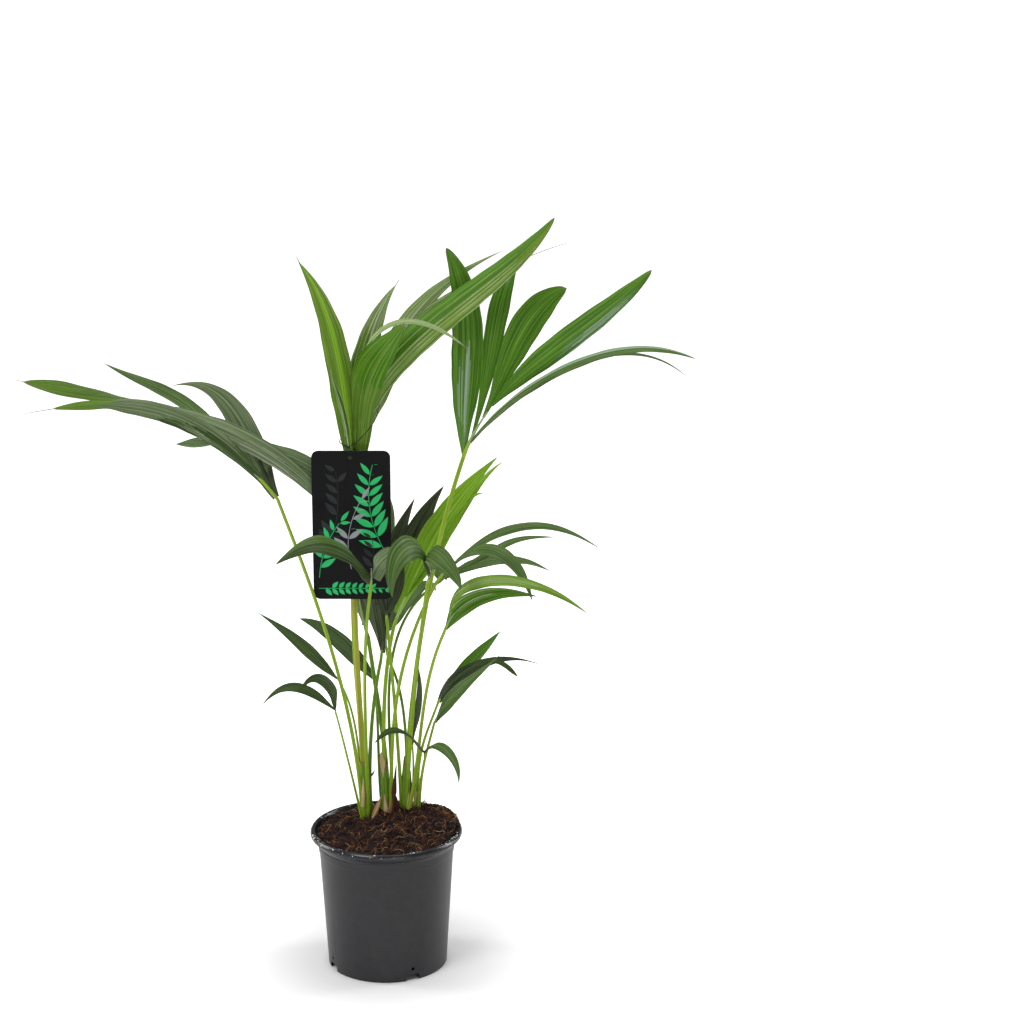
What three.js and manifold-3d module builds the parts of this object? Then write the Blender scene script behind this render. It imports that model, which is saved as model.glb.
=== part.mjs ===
// A kentia palm in its nursery pot. Millimetres, +Z up, the front at -Y, the origin on the ground
// under the middle of the pot. Four stems stand in the soil. Each leaf stalk (petiole) leaves a stem's
// sheath and carries one frond: a rib with its leaflets, joined to one solid.
import * as THREE from "three";
import { mergeVertices } from "three/addons/utils/BufferGeometryUtils.js";
import Module from "manifold-3d";

const wasm = await Module();
wasm.setup();

const GAP = 0.3; // between neighbouring nodes
const FINEST = 0.02; // nothing on a joined solid is smaller than this
const UP = new THREE.Vector3(0, 0, 1);
const FRONT = new THREE.Vector3(0, -1, 0);

const POT = {
  height: 168,
  rimRadius: 90,
  rimDepth: 15,
  collarRadius: 81,
  ledgeDrop: 27, // from the rim down to the faint stacking ledge
  ledge: 0.8,
  baseRadius: 70.5,
  wall: 2,
  skirt: 9, // the foot ring's height
  padRadius: 30, // the middle of the base comes down to the ground
  notches: 4,
  notchWidth: 17,
  notchTurn: 27, // degrees from the front
  drainRadius: 2,
  sides: 40,
};
const SOIL = { edgeDrop: 5, crown: 171, crownRadius: 40 };
const STEM = { flare: 6, collar: 22, sink: 5, sheathTop: 215, sides: 6 };
const PETIOLE = { spread: 1.2, sides: 7, steps: 8 };
const RIB = { taper: 0.5, sides: 5, steps: 3 };
const LEAF = {
  steps: 8,
  thinness: 0.0105,
  leastThickness: 1.2,
  foot: 0.3,
  widest: 0.42,
  point: 0.9,
  fold: 0.16,
};
const TAG = { left: -79.5, top: 630, front: -12.4, width: 90, height: 176, thickness: 0.8, corner: 8 };
const HOLE = { radius: 2.2, fromLeft: 44.5, drop: 8 };
// The string is tied round the foot of the crown frond. Its loop is a list of places chosen by hand.
const STRING = {
  radius: 0.5,
  knotRadius: 1.8,
  knot: [-37, -13, 634],
  loop: [[-26, -16, 642], [-8, -15, 663], [10.6, 6.6, 685], [-5.4, 34, 671], [-33, 29, 646], [-48, 6, 637.5]],
  tail: [-41, -13, 637],
};

const COLOURS = {
  pot: [0x3c3d40, 0.5],
  soil: [0x3a1d12, 1.0],
  stem: [0x86a03c, 0.6],
  petiole: [0x9bc43c, 0.45],
  young: [0x4f8f2c, 0.4],
  old: [0x4c6a3c, 0.45],
  shade: [0x2c3a2c, 0.45],
  tag: [0x15161a, 0.35],
  string: [0x0c0c0c, 0.8],
};

// Where each stem leaves the soil.
const STEMS = {
  stem_left: { foot: [-25, 29], radius: 5.5 },
  stem_middle: { foot: [-1, 45], radius: 5 },
  stem_right: { foot: [20, 50], radius: 5.5 },
  stem_side: { foot: [35, 56], radius: 4 },
};

// Each frond, from the stem it grows on. foot, by and neck are places along its petiole, and thick is
// the petiole's radius at its neck. rib holds the places after the neck where the frond's own rib runs.
// A leaf starts at a share of the rib, passes through two places and ends at its tip. It is so wide,
// face turns its upper side from the sky (0) to the front (90), and twist is added towards the tip.
// foot is the share of its width at the root, widest where along it it is full, and point how soon it
// narrows towards the tip. waist is a narrow place, with its depth and spread. fold drops its sides.
const FRONDS = {
  far_left: {
    stem: "stem_left", foot: [-29, 28], by: [[-47, 8, 324], [-81, -20, 467]], neck: [-116, -40, 580],
    thick: 1.9, kind: "old", rib: [[-151, -46, 622], [-193, -46, 654]],
    leaves: [
      {
        at: 0.1, by: [[-194, -54, 662], [-275, -46, 689]], tip: [-370, -18, 680],
        width: 21, face: 75, point: 0.6, waist: [0.78, 0.4, 0.06],
      },
      { at: 0.38, by: [[-210, -2, 674], [-261, 16, 700]], tip: [-318, 30, 723], width: 15, face: 50 },
      {
        at: 0.04, by: [[-146, -4, 632], [-181, 8, 687]], tip: [-243, 20, 697],
        width: 29, face: 55, point: 1.5,
      },
      { at: 0.9, by: [[-203, -28, 644], [-218, -16, 640]], tip: [-234, -5, 636], width: 12, face: 60 },
    ],
  },
  arch_left: {
    stem: "stem_left", foot: [-24, 36], by: [[-29, 42, 247], [-35, 36, 342]], neck: [-37, 24, 440],
    thick: 2.2, kind: "old", rib: [[-41, 18, 494], [-47, 8, 546]],
    leaves: [
      {
        at: 0.9, by: [[-125, -20, 628], [-245, -22, 683]], tip: [-407, 10, 705],
        width: 30, face: 85, widest: 0.8, point: 0.75, twist: -178,
      },
      { at: 0.5, by: [[-66, 6, 592], [-118, -10, 628]], tip: [-175, -14, 658], width: 22, face: 60 },
    ],
  },
  crown: {
    stem: "stem_left", foot: [-25, 30], by: [[-30, 26, 290], [-34, 18, 410]], neck: [-33, 10, 541],
    thick: 3, kind: "young", rib: [[-31, 9, 590], [-27, 8, 636]],
    leaves: [
      {
        at: 0.6, by: [[-40, 2, 690], [-55, -10, 775]], tip: [-89, -20, 849],
        width: 33, face: 80, fold: 0.22,
      },
      {
        at: 0.5, by: [[-40, -12, 667], [-47, -20, 698]], tip: [-55, -26, 730],
        width: 14, face: 75, foot: 0.6, widest: 0.35, fold: 0.12,
      },
      {
        at: 0.9, by: [[-23, 16, 697], [-10, 26, 759]], tip: [18, 36, 813],
        width: 32, face: 80, widest: 0.38, point: 1.0,
      },
      {
        at: 0.9, by: [[-18, 2, 741], [32, -14, 780]], tip: [102, -30, 749],
        width: 6, face: 70, foot: 0.12, widest: 0.68, fold: 0.3,
      },
      {
        at: 0.98, by: [[22, 10, 735], [113, 20, 811]], tip: [197, 30, 890],
        width: 33, face: 80, foot: 0.45, point: 0.65, fold: 0.35,
      },
      {
        at: 0.98, by: [[5, 22, 714], [44, 44, 784]], tip: [142, 70, 847],
        width: 28, face: 80, widest: 0.36, point: 1.2,
      },
      {
        at: 0.98, by: [[14, 28, 736], [73, 52, 791]], tip: [167, 68, 839],
        width: 15, face: 80, widest: 0.4,
      },
      {
        at: 0.6, by: [[-23, -3, 685], [-9, -14, 731]], tip: [28, -14, 777],
        width: 46, face: 75, foot: 0.35, widest: 0.56, point: 0.65, fold: 0.16,
      },
    ],
  },
  tall_right: {
    stem: "stem_right", foot: [19, 50], by: [[33, 50, 330], [58, 46, 480]], neck: [92.5, 40, 609],
    thick: 2.4, kind: "young", rib: [[106, 39, 640], [128, 38, 674]],
    leaves: [
      {
        at: 0.05, by: [[97, 44, 701], [97, 46, 781]], tip: [74, 40, 854],
        width: 37, face: 80, foot: 0.15, widest: 0.45, point: 0.64, fold: 0.2,
      },
      {
        at: 0.4, by: [[122, 50, 713], [135, 64, 783]], tip: [155, 80, 826],
        width: 24, face: 60, foot: 0.15, widest: 0.62, point: 0.7, waist: [0.14, 0.3, 0.2],
      },
      {
        at: 0.75, by: [[141, 52, 712], [169, 66, 765]], tip: [212, 80, 800],
        width: 36, face: 70, foot: 0.15, widest: 0.64, point: 0.6, waist: [0.12, 0.38, 0.22], fold: 0.1,
      },
      {
        at: 0.95, by: [[178, 30, 724], [242, 20, 776]], tip: [306, 10, 834],
        width: 28, face: 75, foot: 0.1, widest: 0.5, point: 0.6, fold: 0.3,
      },
      {
        at: 0.3, by: [[169, 10, 700], [261, -20, 747]], tip: [354, -50, 744],
        width: 13, face: 45, point: 0.7, fold: 0.5,
      },
      { at: 0.3, by: [[176, 6, 702], [266, -12, 742]], tip: [349, -20, 714], width: 7, face: 30 },
    ],
  },
  inner_right: {
    stem: "stem_middle", foot: [-2, 43], by: [[-4, 43, 237], [-2, 48, 320]], neck: [9, 56, 398],
    thick: 2.2, kind: "young", rib: [[16, 60, 418], [26, 66, 441]],
    leaves: [
      { at: 0.4, by: [[45, 80, 479], [78, 104, 531]], tip: [132, 140, 585], width: 34, face: 80 },
      { at: 0.95, by: [[69, 104, 494], [103, 134, 543]], tip: [139, 170, 572], width: 10, face: 40 },
      { at: 0.8, by: [[64, 90, 486], [89, 112, 529]], tip: [118, 130, 543], width: 9, face: 40 },
    ],
  },
  shade_middle: {
    stem: "stem_left", foot: [-20, 36], by: [[-21, 42, 224], [-17, 50, 291]], neck: [-7, 60, 355],
    thick: 2, kind: "shade", rib: [[-4, 68, 376], [1, 78, 399]],
    leaves: [
      { at: 0.4, by: [[1, 90, 438], [10, 108, 483]], tip: [33, 130, 537], width: 30, face: 60 },
      { at: 0.8, by: [[18, 94, 451], [37, 110, 502]], tip: [68, 130, 552], width: 34, face: 75 },
      { at: 0.2, by: [[-17, 78, 415], [-24, 88, 465]], tip: [-22, 100, 525], width: 26, face: 60 },
    ],
  },
  shade_young: {
    stem: "stem_right", foot: [17, 49], by: [[13, 46, 248], [8, 38, 335]], neck: [2, 30, 418],
    thick: 1.8, kind: "shade", rib: [[2, 29, 430]],
    leaves: [
      { at: 0.4, by: [[-7, 24, 454], [-16, 20, 484]], tip: [-22, 24, 508], width: 20, face: 70 },
      { at: 0.5, by: [[12, 24, 451], [18, 20, 478]], tip: [17, 24, 500], width: 18, face: 70 },
    ],
  },
  behind_tag: {
    stem: "stem_middle", foot: [-3, 49], by: [[-2, 54, 226], [-11, 70, 297]], neck: [-23, 88, 375],
    thick: 2.4, kind: "old", rib: [[-30, 98, 399], [-37, 112, 433]],
    leaves: [
      { at: 0.4, by: [[-51, 134, 462], [-65, 170, 514]], tip: [-79, 208, 547], width: 28, face: 40 },
      { at: 0.3, by: [[-10, 122, 448], [0, 140, 506]], tip: [-12, 158, 556], width: 24, face: 40 },
      { at: 0.95, by: [[-43, 144, 478], [-45, 190, 521]], tip: [-38, 244, 533], width: 28, face: 0 },
    ],
  },
  rear: {
    stem: "stem_right", foot: [20, 56], by: [[22, 64, 219], [18, 80, 287]], neck: [0, 98, 344],
    thick: 1.6, kind: "old", rib: [[-3, 114, 365], [-1, 138, 382]],
    leaves: [
      { at: 0.5, by: [[-20, 168, 402], [-22, 225, 420]], tip: [-18, 285, 380], width: 28, face: 0 },
      { at: 0.95, by: [[6, 195, 410], [17, 245, 418]], tip: [26, 305, 377], width: 30, face: 0 },
      { at: 0.75, by: [[15, 158, 396], [38, 195, 412]], tip: [54, 235, 388], width: 26, face: 0 },
    ],
  },
  front_left: {
    stem: "stem_left", foot: [-24, 28], by: [[-23, 8, 268], [-21, -28, 376]], neck: [-11, -62, 482],
    thick: 1.8, kind: "old", rib: [[-9, -78, 514]],
    leaves: [
      {
        at: 0.5, by: [[-30, -94, 530], [-64, -114, 550]], tip: [-113, -130, 529],
        width: 40, face: 25, foot: 0.8,
      },
      { at: 0.5, by: [[2, -72, 518], [18, -62, 524]], tip: [34, -52, 509], width: 26, face: 30, foot: 0.8 },
    ],
  },
  front_right: {
    stem: "stem_right", foot: [23, 46], by: [[28, 26, 261], [39, -12, 374]], neck: [53, -52, 485],
    thick: 2, kind: "old", rib: [[60, -64, 509]],
    leaves: [
      {
        at: 0.5, by: [[43, -88, 538], [23, -120, 534]], tip: [17, -132, 492],
        width: 30, face: 60, foot: 0.35, widest: 0.5,
      },
      {
        at: 0.7, by: [[57, -82, 530], [76, -100, 521]], tip: [92, -110, 494],
        width: 24, face: 45, foot: 0.4,
      },
    ],
  },
  reach_right: {
    stem: "stem_middle", foot: [4, 41], by: [[7, 37, 265], [22, 28, 363]], neck: [61, 14, 466],
    thick: 1.9, kind: "old", rib: [[75, 11, 484], [91, 8, 500]],
    leaves: [
      { at: 0.5, by: [[135, 30, 522], [195, 44, 525]], tip: [254, 60, 492], width: 12, face: 35 },
      { at: 0.3, by: [[121, 4, 504], [153, -10, 524]], tip: [201, -20, 530], width: 9, face: 50 },
      { at: 0.8, by: [[119, -18, 516], [151, -38, 504]], tip: [172, -56, 464], width: 17, face: 40 },
    ],
  },
  reach_rear: {
    stem: "stem_middle", foot: [3, 52], by: [[2, 68, 259], [8, 88, 362]], neck: [63, 112, 438],
    thick: 1.6, kind: "old", rib: [[77, 118, 449]],
    leaves: [
      { at: 0.5, by: [[110, 140, 454], [154, 160, 452]], tip: [196, 175, 432], width: 17, face: 30 },
      { at: 0.3, by: [[61, 162, 443], [60, 205, 450]], tip: [67, 250, 424], width: 22, face: 0 },
    ],
  },
  low_reach: {
    stem: "stem_right", foot: [23, 40], by: [[38, 16, 256], [49, -8, 340]], neck: [71, -34, 421],
    thick: 1.8, kind: "young", rib: [[77, -42, 437], [86, -50, 452]],
    leaves: [
      {
        at: 0.1, by: [[91, -40, 453], [126, -28, 465]], tip: [179, -16, 458],
        width: 21, face: 60, foot: 0.2, widest: 0.36, fold: 0.25,
      },
      {
        at: 0.6, by: [[96, -64, 484], [158, -86, 497]], tip: [236, -102, 462],
        width: 15, face: 50, foot: 0.15, fold: 0.2,
      },
    ],
  },
  side_upper: {
    stem: "stem_side", foot: [35, 58], by: [[37, 64, 221], [45, 73, 256]], neck: [60, 82, 295],
    thick: 1.5, kind: "old", rib: [[68, 90, 308]],
    leaves: [
      { at: 0.7, by: [[92, 112, 329], [114, 136, 345]], tip: [135, 162, 360], width: 15, face: 65 },
      {
        at: 0.05, by: [[94, 94, 330], [146, 102, 344]], tip: [207, 108, 320],
        width: 18, face: 55, widest: 0.2, point: 2.6,
      },
      {
        at: 0.9, by: [[111, 80, 346], [138, 70, 348]], tip: [156, 60, 335],
        width: 6, face: 55, widest: 0.75, point: 0.8,
      },
    ],
  },
  side_lower: {
    stem: "stem_side", foot: [36, 54], by: [[41, 38, 217], [48, 28, 254]], neck: [57, 20, 291],
    thick: 1.5, kind: "old", rib: [[63, 16, 306]],
    leaves: [
      {
        at: 0.05, by: [[79, 4, 331], [109, -10, 363]], tip: [144, -24, 399],
        width: 17, face: 70, foot: 0.2, widest: 0.28, point: 2.0, fold: 0.3,
      },
    ],
  },
  small_front: {
    stem: "stem_side", foot: [35, 51], by: [[37, 34, 198], [43, 17, 232]], neck: [46, 2, 259],
    thick: 1.2, kind: "old", rib: [[47, -4, 268]],
    leaves: [
      { at: 0.4, by: [[30, -24, 292], [11, -44, 306]], tip: [-10, -60, 294], width: 12, face: 20 },
      { at: 0.4, by: [[62, -20, 278], [80, -38, 269]], tip: [87, -54, 243], width: 14, face: 30 },
    ],
  },
  side_left_slim: {
    stem: "stem_left", foot: [-28, 36], by: [[-33, 52, 222], [-40, 62, 278]], neck: [-57, 72, 324],
    thick: 1.3, kind: "old", rib: [[-62, 75, 332]],
    leaves: [
      {
        at: 0.4, by: [[-85, 86, 349], [-116, 100, 373]], tip: [-160, 120, 398],
        width: 15, face: 60, foot: 0.12, widest: 0.45, point: 1.15,
      },
    ],
  },
  side_left_broad: {
    stem: "stem_middle", foot: [-6, 54], by: [[-11, 66, 218], [-13, 82, 270]], neck: [-17, 96, 317],
    thick: 1.5, kind: "old", rib: [[-21, 102, 328]],
    leaves: [
      {
        at: 0.4, by: [[-45, 120, 345], [-75, 140, 366]], tip: [-111, 162, 376],
        width: 20, face: 55, point: 0.75,
      },
    ],
  },
  small_left: {
    stem: "stem_left", foot: [-28, 20], by: [[-36, -2, 216], [-46, -22, 276]], neck: [-55, -38, 325],
    thick: 1.2, kind: "old", rib: [[-55, -42, 333]],
    leaves: [
      {
        at: 0.4, by: [[-57, -52, 357], [-74, -66, 376]], tip: [-94, -78, 359],
        width: 15, face: 80, foot: 0.2, widest: 0.3, point: 1.0,
      },
      {
        at: 0.4, by: [[-81, -34, 347], [-111, -30, 353]], tip: [-142, -26, 328],
        width: 12, face: 50, foot: 0.15, widest: 0.5, point: 1.05,
      },
    ],
  },
  sliver: {
    stem: "stem_right", foot: [24, 56], by: [[29, 64, 190], [30, 72, 215]], neck: [29, 80, 239],
    thick: 1.1, kind: "shade", rib: [[30, 84, 248]],
    leaves: [
      { at: 0.3, by: [[35, 92, 276], [38, 100, 305]], tip: [35, 112, 334], width: 12, face: 60 },
    ],
  },
};

const vector = (p) => new THREE.Vector3(...p);
const rad = THREE.MathUtils.degToRad;
const lerp = THREE.MathUtils.lerp;

// The curve through evenly spaced places: of the second degree for three, of the third for four.
class Through extends THREE.Curve {
  constructor(places) {
    super();
    this.places = places;
  }
  getPoint(t, target = new THREE.Vector3()) {
    const last = this.places.length - 1;
    target.set(0, 0, 0);
    this.places.forEach((place, i) => {
      let weight = 1;
      for (let j = 0; j <= last; j += 1) {
        if (j !== i) weight *= (t * last - j) / (i - j);
      }
      target.addScaledVector(place, weight);
    });
    return target;
  }
  getTangent(t, target = new THREE.Vector3()) {
    return target.subVectors(this.getPoint(t + 1e-4), this.getPoint(t - 1e-4)).normalize();
  }
}

// A closed skin over rings of points. A last ring of one point makes a tip.
function loft(rings) {
  const sides = rings[0].length;
  const positions = rings.flat().flatMap((p) => p.toArray());
  const faces = [];
  for (let i = 2; i < sides; i += 1) faces.push(0, i, i - 1);
  for (let r = 0; r + 1 < rings.length; r += 1) {
    const low = r * sides;
    const high = low + sides;
    for (let i = 0; i < sides; i += 1) {
      const next = (i + 1) % sides;
      if (rings[r + 1].length === 1) {
        faces.push(low + i, low + next, high);
      } else {
        faces.push(low + i, low + next, high + next, low + i, high + next, high + i);
      }
    }
  }
  const end = (rings.length - 1) * sides;
  if (rings.at(-1).length > 1) {
    for (let i = 2; i < sides; i += 1) faces.push(end, end + i - 1, end + i);
  }
  const geometry = new THREE.BufferGeometry();
  geometry.setAttribute("position", new THREE.Float32BufferAttribute(positions, 3));
  geometry.setIndex(faces);
  return geometry;
}

function solid(geometry) {
  const bare = geometry.clone();
  bare.deleteAttribute("normal");
  bare.deleteAttribute("uv");
  const merged = mergeVertices(bare, 1e-3);
  const build = (triVerts) =>
    new wasm.Manifold(new wasm.Mesh({ numProp: 3, vertProperties: merged.attributes.position.array, triVerts }));
  const triangles = new Uint32Array(merged.index.array);
  const made = build(triangles);
  return made.volume() > 0 ? made : build(triangles.reverse());
}

const join = (solids) => solids.reduce((all, one) => all.add(one));
const tidy = (body) => body.simplify(FINEST);
const largest = (body) => body.decompose().reduce((a, b) => (b.volume() > a.volume() ? b : a));

function geometryOf(body) {
  const mesh = body.getMesh();
  const geometry = new THREE.BufferGeometry();
  geometry.setAttribute("position", new THREE.BufferAttribute(new Float32Array(mesh.vertProperties), 3));
  geometry.setIndex(new THREE.BufferAttribute(new Uint32Array(mesh.triVerts), 1));
  geometry.computeVertexNormals();
  return geometry;
}

const palm = new THREE.Group();
palm.name = "kentia_palm";

function add(name, body, colour) {
  const [hex, roughness] = COLOURS[colour];
  const material = new THREE.MeshStandardMaterial({ color: hex, roughness, metalness: 0 });
  const mesh = new THREE.Mesh(geometryOf(body), material);
  mesh.name = name;
  palm.add(mesh);
}

// A round limb along part of a curve, tapering from one radius to another.
function limb(curve, [start, end], [thick, thin], sides, steps) {
  const rings = [];
  for (let k = 0; k <= steps; k += 1) {
    const share = k / steps;
    const t = lerp(start, end, share);
    const along = curve.getTangent(t);
    const side = new THREE.Vector3().crossVectors(along, FRONT).normalize();
    const back = new THREE.Vector3().crossVectors(side, along);
    const centre = curve.getPoint(t);
    const radius = lerp(thick, thin, share);
    const ring = [];
    for (let i = 0; i < sides; i += 1) {
      const angle = (2 * Math.PI * i) / sides;
      const place = centre.clone().addScaledVector(side, radius * Math.cos(angle));
      ring.push(place.addScaledVector(back, radius * Math.sin(angle)));
    }
    rings.push(ring);
  }
  return solid(loft(rings));
}

// A leaflet's width at a share of its length: a narrow foot, a full middle and a long point.
function leafWidth(leaf, t) {
  const foot = leaf.foot ?? LEAF.foot;
  const widest = leaf.widest ?? LEAF.widest;
  const [narrow, depth, spread] = leaf.waist ?? [0, 0, 1];
  const full = leaf.width * (1 - depth * Math.exp(-(((t - narrow) / spread) ** 2)));
  if (t < widest) return full * lerp(foot, 1, Math.sin((Math.PI / 2) * (t / widest)));
  const rest = (t - widest) / (1 - widest);
  return full * Math.cos((Math.PI / 2) * rest) ** (leaf.point ?? LEAF.point);
}

// A leaflet: a thin blade with its sides folded down from the middle.
function blade(leaf, root) {
  const tip = vector(leaf.tip);
  const curve = new Through([root, ...leaf.by.map(vector), tip]);
  const chord = tip.clone().sub(root).normalize();
  const level = new THREE.Vector3().crossVectors(chord, UP).normalize();
  const upper = new THREE.Vector3().crossVectors(level, chord);
  const facing = level.dot(FRONT) > 0 ? level : level.clone().negate();
  const thickness = Math.max(LEAF.leastThickness, LEAF.thinness * curve.getLength());
  const rings = [];
  for (let k = 0; k < LEAF.steps; k += 1) {
    const t = k / LEAF.steps;
    const turn = rad(leaf.face + (leaf.twist ?? 0) * t * t);
    const along = curve.getTangent(t);
    const bend = new THREE.Quaternion().setFromUnitVectors(chord, along);
    const top = upper.clone().multiplyScalar(Math.cos(turn)).addScaledVector(facing, Math.sin(turn));
    top.applyQuaternion(bend);
    const side = new THREE.Vector3().crossVectors(along, top);
    const centre = curve.getPoint(t);
    const half = leafWidth(leaf, t) / 2;
    const thick = Math.min(thickness, half) / 2;
    const drop = -half * (leaf.fold ?? LEAF.fold);
    const at = (x, z) => centre.clone().addScaledVector(side, x).addScaledVector(top, z);
    rings.push([at(-half, drop), at(0, -thick), at(half, drop), at(0, thick)]);
  }
  rings.push([tip]);
  return solid(loft(rings));
}

// The share of a rising curve at which it reaches a height.
function shareAt(curve, height) {
  let [low, high] = [0, 1];
  for (let k = 0; k < 30; k += 1) {
    const middle = (low + high) / 2;
    if (curve.getPoint(middle).z < height) low = middle;
    else high = middle;
  }
  return low;
}

const petioleCurve = (frond) => {
  const foot = new THREE.Vector3(...frond.foot, POT.height - STEM.sink);
  return new Through([foot, ...frond.by.map(vector), vector(frond.neck)]);
};

function addFrond(name, frond, sheaths) {
  const stalk = petioleCurve(frond);
  const start = shareAt(stalk, STEM.sheathTop + GAP);
  const petiole = (room, end) => {
    const sizes = [frond.thick * PETIOLE.spread + room, frond.thick + room];
    return limb(stalk, [start, end], sizes, PETIOLE.sides, PETIOLE.steps);
  };
  add(`petiole_${name}`, largest(petiole(0, 1).subtract(sheaths)), "petiole");

  const rib = new Through([frond.neck, ...frond.rib].map(vector));
  const parts = [limb(rib, [0, 1], [frond.thick, frond.thick * RIB.taper], RIB.sides, RIB.steps)];
  frond.leaves.forEach((leaf) => parts.push(blade(leaf, rib.getPoint(leaf.at))));
  const cut = join(parts).subtract(petiole(GAP, 1 + GAP / stalk.getLength()));
  add(`frond_${name}`, tidy(largest(cut)), frond.kind);
}

// A stem: its collar at the soil and the sheath of each of its fronds. room is added all round.
function stemBody(name, stem, room = 0) {
  const centre = new THREE.Vector3(...stem.foot, POT.height - STEM.sink - room);
  const collar = new Through([centre, centre.clone().addScaledVector(UP, STEM.collar + room)]);
  const parts = [limb(collar, [0, 1], [stem.radius + STEM.flare / 2 + room, stem.radius + room], 12, 3)];
  Object.values(FRONDS).forEach((frond) => {
    if (frond.stem !== name) return;
    const stalk = petioleCurve(frond);
    const sizes = [frond.thick * 2 + room, frond.thick * 1.5 + room];
    parts.push(limb(stalk, [0, shareAt(stalk, STEM.sheathTop)], sizes, STEM.sides, 3));
  });
  return join(parts);
}

function potBody() {
  const inner = (z) => lerp(POT.baseRadius, POT.collarRadius, z / (POT.height - POT.rimDepth)) - POT.wall;
  const ledgeHeight = POT.height - POT.ledgeDrop;
  const underRim = POT.height - POT.rimDepth;
  const floorTop = POT.skirt + POT.wall;
  const profile = [
    [0, 0],
    [POT.padRadius, 0],
    [POT.padRadius + POT.wall, POT.skirt],
    [inner(POT.skirt), POT.skirt],
    [inner(0), 0],
    [POT.baseRadius, 0],
    [inner(ledgeHeight) + POT.wall - POT.ledge, ledgeHeight],
    [inner(ledgeHeight) + POT.wall, ledgeHeight + POT.ledge],
    [POT.collarRadius, underRim],
    [POT.rimRadius - 3, underRim + 4],
    [POT.rimRadius, underRim + 9],
    [POT.rimRadius, underRim + 12],
    [POT.rimRadius - 2, POT.height],
    [POT.rimRadius - 5, POT.height],
    [POT.rimRadius - 7, POT.height - 4],
    [inner(underRim), underRim],
    [inner(floorTop), floorTop],
    [POT.padRadius, floorTop],
    [POT.padRadius - POT.wall, POT.wall],
    [0, POT.wall],
  ];
  const turned = new THREE.LatheGeometry(profile.map((p) => new THREE.Vector2(...p)), POT.sides);
  let body = solid(turned.rotateX(Math.PI / 2));
  for (let k = 0; k < POT.notches; k += 1) {
    const turn = rad(POT.notchTurn + (360 * k) / POT.notches);
    const notch = new THREE.BoxGeometry(POT.notchWidth, 12, 2 * POT.skirt - 2);
    notch.translate(0, -POT.baseRadius, 0);
    body = body.subtract(solid(notch.rotateZ(turn)));
    const drain = new THREE.CylinderGeometry(POT.drainRadius, POT.drainRadius, 12, 12);
    drain.translate(0, -POT.baseRadius, -(POT.skirt + 2 * POT.wall + POT.drainRadius));
    body = body.subtract(solid(drain.rotateZ(turn)));
  }
  return body;
}

function soilBody(sheaths) {
  const wall = (z) => lerp(POT.baseRadius, POT.collarRadius, z / (POT.height - POT.rimDepth)) - POT.wall - GAP;
  const edge = POT.height - SOIL.edgeDrop;
  const bed = POT.skirt + POT.wall + GAP;
  const profile = [
    [0, POT.wall + GAP],
    [POT.padRadius - POT.wall - GAP, POT.wall + GAP],
    [POT.padRadius - 2 * GAP, bed],
    [wall(bed) - GAP, bed],
    [wall(POT.height - POT.rimDepth) - GAP, POT.height - POT.rimDepth],
    [POT.rimRadius - 8, edge],
    [lerp(wall(edge), SOIL.crownRadius, 0.5), edge + 5],
    [SOIL.crownRadius, SOIL.crown - 1.5],
    [0, SOIL.crown],
  ];
  const turned = new THREE.LatheGeometry(profile.map((p) => new THREE.Vector2(...p)), 30);
  return solid(turned.rotateX(Math.PI / 2)).subtract(sheaths);
}

function tagBody() {
  const { width, height, corner, thickness } = TAG;
  const outline = new THREE.Shape();
  outline.moveTo(corner, 0);
  [[width, 0], [width, height], [0, height], [0, 0]].forEach(([x, y], i) => {
    const quarter = i - 1;
    const inX = x === 0 ? corner : width - corner;
    const inY = y === 0 ? corner : height - corner;
    outline.absarc(inX, inY, corner, rad(90 * quarter), rad(90 * quarter + 90));
  });
  const hole = new THREE.Path();
  hole.absarc(HOLE.fromLeft, height - HOLE.drop, HOLE.radius, 0, 2 * Math.PI, true);
  outline.holes.push(hole);
  const card = new THREE.ExtrudeGeometry(outline, { depth: thickness, bevelEnabled: false, curveSegments: 5 });
  card.rotateX(Math.PI / 2);
  card.translate(TAG.left, TAG.front + thickness, TAG.top - height);
  return solid(card);
}

function stringBody() {
  const knot = vector(STRING.knot);
  const holeX = TAG.left + HOLE.fromLeft;
  const holeTop = TAG.top - HOLE.drop + HOLE.radius - GAP - STRING.radius;
  const clear = STRING.radius + GAP;
  const back = TAG.front + TAG.thickness;
  const throughHole = [
    [holeX, TAG.front - clear, TAG.top + clear],
    [holeX, TAG.front - clear, holeTop],
    [holeX, back + clear, holeTop],
    [holeX, back + clear, TAG.top + clear],
  ];
  const section = new THREE.Shape().absarc(0, 0, STRING.radius, 0, 2 * Math.PI);
  const strand = (places, steps) => {
    const path = new THREE.CatmullRomCurve3(places, false, "centripetal");
    return solid(new THREE.ExtrudeGeometry(section, { steps, curveSegments: 5, extrudePath: path }));
  };
  const around = strand([knot, ...STRING.loop.map(vector), knot.clone().add(new THREE.Vector3(-1, 0, 0))], 26);
  const hanging = strand([knot, ...throughHole.map(vector), knot.clone().add(new THREE.Vector3(0, 0.6, 0))], 20);
  const tail = strand([knot, vector(STRING.tail)], 2);
  const ball = new THREE.SphereGeometry(STRING.knotRadius, 10, 6).translate(...STRING.knot);
  return join([solid(ball), around, hanging, tail]);
}

add("pot", potBody(), "pot");
const sheaths = join(Object.entries(STEMS).map(([name, stem]) => stemBody(name, stem, GAP)));
add("soil", soilBody(sheaths), "soil");
Object.entries(STEMS).forEach(([name, stem]) => add(name, stemBody(name, stem), "stem"));
Object.entries(FRONDS).forEach(([name, frond]) => addFrond(name, frond, sheaths));
add("tag", tagBody(), "tag");
add("tag_string", stringBody(), "string");

export default palm;
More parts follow.
